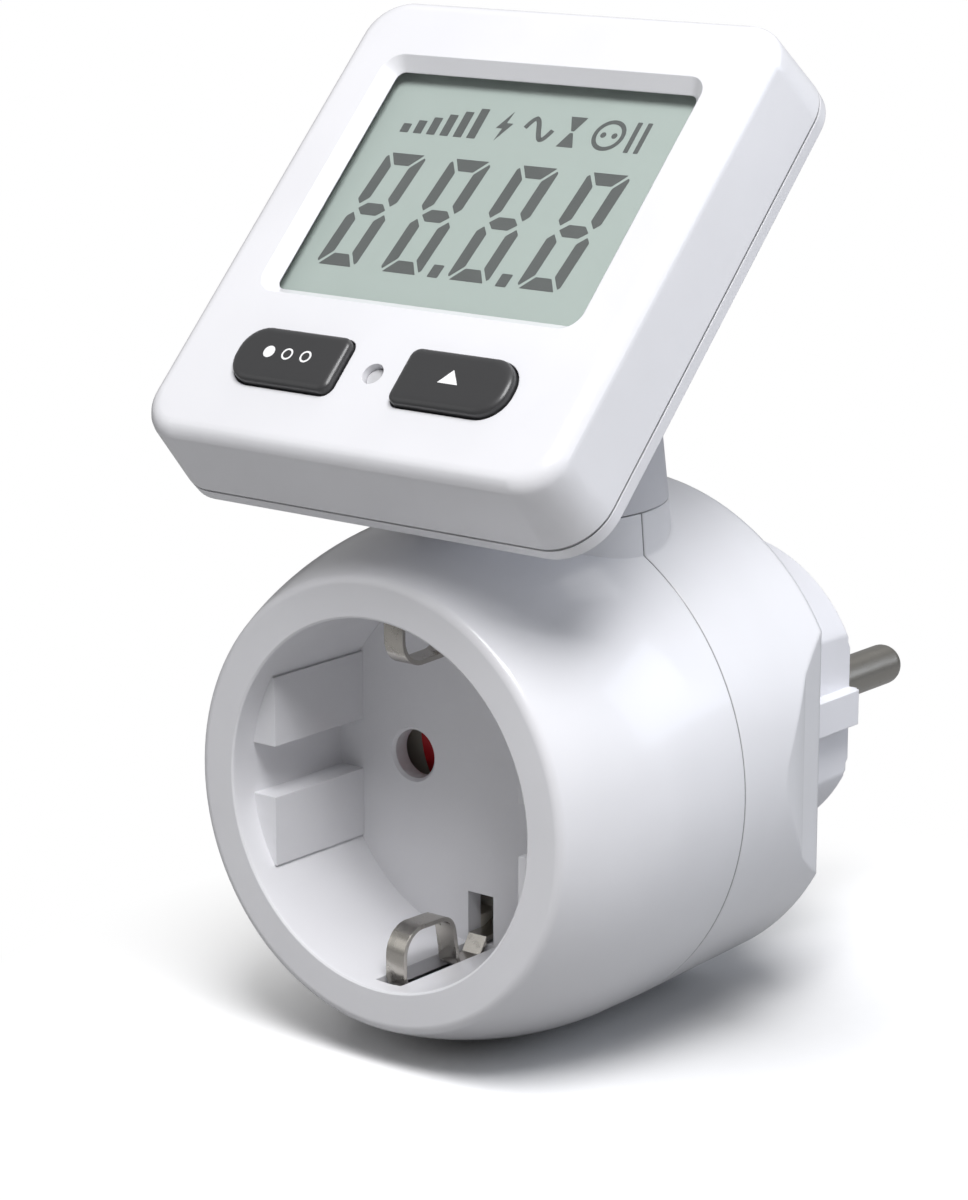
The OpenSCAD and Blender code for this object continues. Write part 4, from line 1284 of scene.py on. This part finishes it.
@dataclass
class KeyMarks:
    """Plain printed marks on the two large keys, in millimetres.

    Attributes:
        workshop: Where finished pieces are seated.
        plane: The head's face.
        level: Height of the print over the face's plane.
        row: Height of the marks up the face.
        dots: Place across the face and inner radius of each dot on the left key.
        dot_radius: Outer radius of a dot.
        arrow_middle: Place of the arrow across the face.
        arrow: The arrow's outline about its middle.
        arrow_corner: Radius of its corners.
    """

    workshop: Workshop
    plane: FacePlane
    level: float = 1.002
    row: float = -18.7
    dots: Sequence[Point] = ((-13.6, 0.0), (-11.1, 0.5), (-8.6, 0.5))
    dot_radius: float = 0.72
    arrow_middle: float = 10.6
    arrow: Sequence[Point] = ((-1.3, -0.75), (1.3, -0.75), (0.0, 0.95))
    arrow_corner: float = 0.08

    def make(self) -> None:
        """Builds the three dots of the left key and the arrow of the right one."""
        dots = FlatMarks(self.plane, self.level)
        for across, inner in self.dots:
            dots.ring((across, self.row), self.dot_radius, inner)
        self.workshop.seat(dots.finish("left_key_dots", Finish.MARK), "mode_key", "button_plastic")
        arrow = FlatMarks(self.plane, self.level, self.arrow_corner)
        arrow.plate([(u + self.arrow_middle, v + self.row) for u, v in self.arrow])
        self.workshop.seat(arrow.finish("right_key_arrow", Finish.MARK), "up_key", "button_plastic")


@dataclass(frozen=True)
class Lamp:
    """A soft square lamp.

    Attributes:
        name: The lamp's name.
        place: Its place in millimetres.
        power: Its power in watts.
        colour: Its linear colour.
        size: The length of its sides in millimetres.
        aim: The point it faces, in millimetres.
    """

    name: str
    place: Place
    power: float
    colour: Colour
    size: float = 300.0
    aim: Place = (0.0, -40.0, 10.0)

    def hang(self) -> None:
        """Puts the lamp in the scene."""
        data = bpy.data.lights.new(self.name, "AREA")
        data.shape = "SQUARE"
        data.size = self.size * MM
        data.energy = self.power
        data.color = self.colour
        point_at(placed(self.name, data), self.place, self.aim)


@dataclass
class Studio:
    """Camera, soft lamps, pale floor and white surroundings.

    Attributes:
        eye: The camera's place in millimetres.
        target: The point it looks at in millimetres.
        lens: Focal length in millimetres.
        sensor: Length of the sensor's long side in millimetres.
        clip: Nearest and farthest distance in metres that the camera sees.
        lamps: The lamps.
        ambient: Strength of the even light from all around.
        gloss: Brightness of the surroundings as seen in polished surfaces.
        floor_level: Height of the floor in millimetres.
        floor_radius: Radius of the floor in metres.
        floor_sides: Sides of the floor's edge.
        grain: The floor's grain.
        grain_tones: Linear greys between which the grain swings.
        bounce: Share of its light that the floor throws back at the object.
        gain: Brightness of the floor to the camera.
        fade: Distances at which the floor starts to fade to plain white and ends to.
        fade_middle: The point on the floor from which they are measured, in millimetres.
        painted_shadow_middle: Middle of the shadow painted on the floor beside the object.
        painted_shadow_reach: Distance from there at which that painted shadow ends.
        painted_shadow_depth: Share of its brightness that the floor loses in the middle of that
            painted shadow.
    """

    eye: Place = (240.75, -347.63, 113.44)
    target: Place = (14.64, -65.4, 24.55)
    lens: float = 111.17
    sensor: float = 36.0
    clip: Point = (0.01, 50.0)
    lamps: Sequence[Lamp] = (
        Lamp("key_softbox", (218.0, -262.0, 535.0), 4.35, (0.985, 0.985, 1.0)),
        Lamp("fill_softbox", (-400.0, -420.0, 250.0), 0.15, PURE_WHITE),
        Lamp("back_softbox", (0.0, 300.0, 540.0), 0.6, (0.99, 0.99, 1.0)),
        Lamp("edge_softbox", (450.0, 330.0, 260.0), 0.9, (0.8, 0.87, 1.0)),
    )
    ambient: float = 0.15
    gloss: float = 0.4
    floor_level: float = -29.15
    floor_radius: float = 6.0
    floor_sides: int = 96
    grain: Grain = Grain(0.5, 2.0)
    grain_tones: Point = (0.92, 0.94)
    bounce: float = 0.42
    gain: float = 1.2
    fade: Point = (40.0, 88.0)
    fade_middle: Point = (28.0, -42.0)
    painted_shadow_middle: Point = (20.0, -29.0)
    painted_shadow_reach: float = 44.0
    painted_shadow_depth: float = 0.5

    def camera(self) -> None:
        """Sets the camera up at the photograph's viewing angle."""
        data = bpy.data.cameras.new("camera")
        data.lens = self.lens
        data.sensor_width = self.sensor
        data.clip_start, data.clip_end = self.clip
        seat = placed("camera", data)
        point_at(seat, self.eye, self.target)
        bpy.context.scene.camera = seat

    def world(self) -> None:
        """Lights the object faintly from all around, and shows plain white to the camera."""
        world = bpy.data.worlds.new("white_surroundings")
        shader = Shader(world)
        path = shader.node("ShaderNodeLightPath", {}, {})
        white = {"Color": (*PURE_WHITE, 1.0)}
        result = shader.node("ShaderNodeBackground", {}, {**white, "Strength": self.ambient})
        for ray, strength in (("Is Glossy Ray", self.gloss), ("Is Camera Ray", 1.0)):
            glow = shader.node("ShaderNodeBackground", {}, {**white, "Strength": strength})
            result = shader.layered(Term(shader, path.outputs[ray]), result, glow)
        shader.node("ShaderNodeOutputWorld", {}, {"Surface": result.outputs[0]})
        bpy.context.scene.world = world

    def floor(self) -> None:
        """Lays a white floor that keeps the object's soft shadow, with a painted shadow beside the
        object.
        """
        build = bmesh.new()
        place = Matrix.Translation((0, 0, self.floor_level * MM))
        bmesh.ops.create_circle(
            build, cap_ends=True, segments=self.floor_sides, radius=self.floor_radius, matrix=place
        )
        mesh = bpy.data.meshes.new("studio_floor")
        build.to_mesh(mesh)
        build.free()
        mesh.materials.append(self.floor_paint())
        floor = placed("studio_floor", mesh)

    @staticmethod
    def distance(shader: Shader, middle: Point) -> Term:
        """Measures the distance on the floor from a point.

        Args:
            shader: The floor's shader.
            middle: The point, in millimetres.

        Returns:
            The distance in millimetres.
        """
        inputs = {
            "Vector": shader.place,
            "Scale": (1 / MM, 1 / MM, 0.0),
            "Location": (-middle[0], -middle[1], 0.0),
        }
        spot = shader.node("ShaderNodeMapping", {}, inputs).outputs[0]
        return shader.term("ShaderNodeVectorMath", {"operation": "LENGTH"}, {0: spot}, "Value")

    def floor_paint(self) -> bpy.types.Material:
        """Mixes the floor's paint: matte near the object with a painted shadow beside it, plain
        white to the camera farther off.

        Returns:
            The material, which the camera sees through from below.
        """
        shader = Shader.of_material("studio_floor_white")
        seen = Term(shader, shader.node("ShaderNodeLightPath", {}, {}).outputs["Is Camera Ray"])
        dark, pale = ((tone,) * 3 for tone in self.grain_tones)
        grain = shader.blend(shader.noise(self.grain), dark, pale)
        level = shader.blend(seen, (self.bounce,) * 3, (self.gain,) * 3)
        paint = shader.blend(1.0, grain, level, "MULTIPLY")
        # Painted shadow: the floor is darkened around a point beside the object, for the camera
        # only.
        near = self.distance(shader, self.painted_shadow_middle)
        painted_shadow = near.ramp(0.0, self.painted_shadow_reach, self.painted_shadow_depth, 0.0)
        paint = shader.blend(painted_shadow * seen, paint, PURE_BLACK)
        matte = shader.node("ShaderNodeBsdfDiffuse", {}, {"Color": paint})
        white = shader.node("ShaderNodeEmission", {}, {"Color": (*PURE_WHITE, 1.0)})
        far = self.distance(shader, self.fade_middle).ramp(*self.fade, 0.0, 1.0)
        topside = shader.layered(far * seen, matte, white)
        below = shader.term("ShaderNodeNewGeometry", {}, {}, "Backfacing")
        clear = shader.node("ShaderNodeBsdfTransparent", {}, {})
        both = shader.layered(below * seen, topside, clear)
        shader.node("ShaderNodeOutputMaterial", {}, {"Surface": both.outputs[0]})
        return shader.owner

    def make(self) -> None:
        """Builds the whole studio."""
        bpy.context.scene.view_settings.view_transform = "Standard"
        self.camera()
        for lamp in self.lamps:
            lamp.hang()
        self.world()
        self.floor()
        log.info("set the studio up with %d lamps", len(self.lamps))


def corners(box: Sequence[Sequence[float]]) -> list[list[float]]:
    """Returns a box as plain lists of numbers."""
    return [[float(value) for value in corner] for corner in box]


def main() -> None:
    """Builds the dressed meter and its studio."""
    logging.basicConfig(level=logging.INFO, format="%(name)s: %(message)s")
    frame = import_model()
    workshop = Workshop(frame)
    plane = FacePlane()
    Studio().make()
    SocketBody(workshop).make()
    Neck(workshop).make()
    DisplayHead(workshop).make()
    Figures(workshop, plane).make()
    DisplayMarks(workshop, plane).make()
    KeyMarks(workshop, plane).make()


if __name__ == "__main__":
    main()
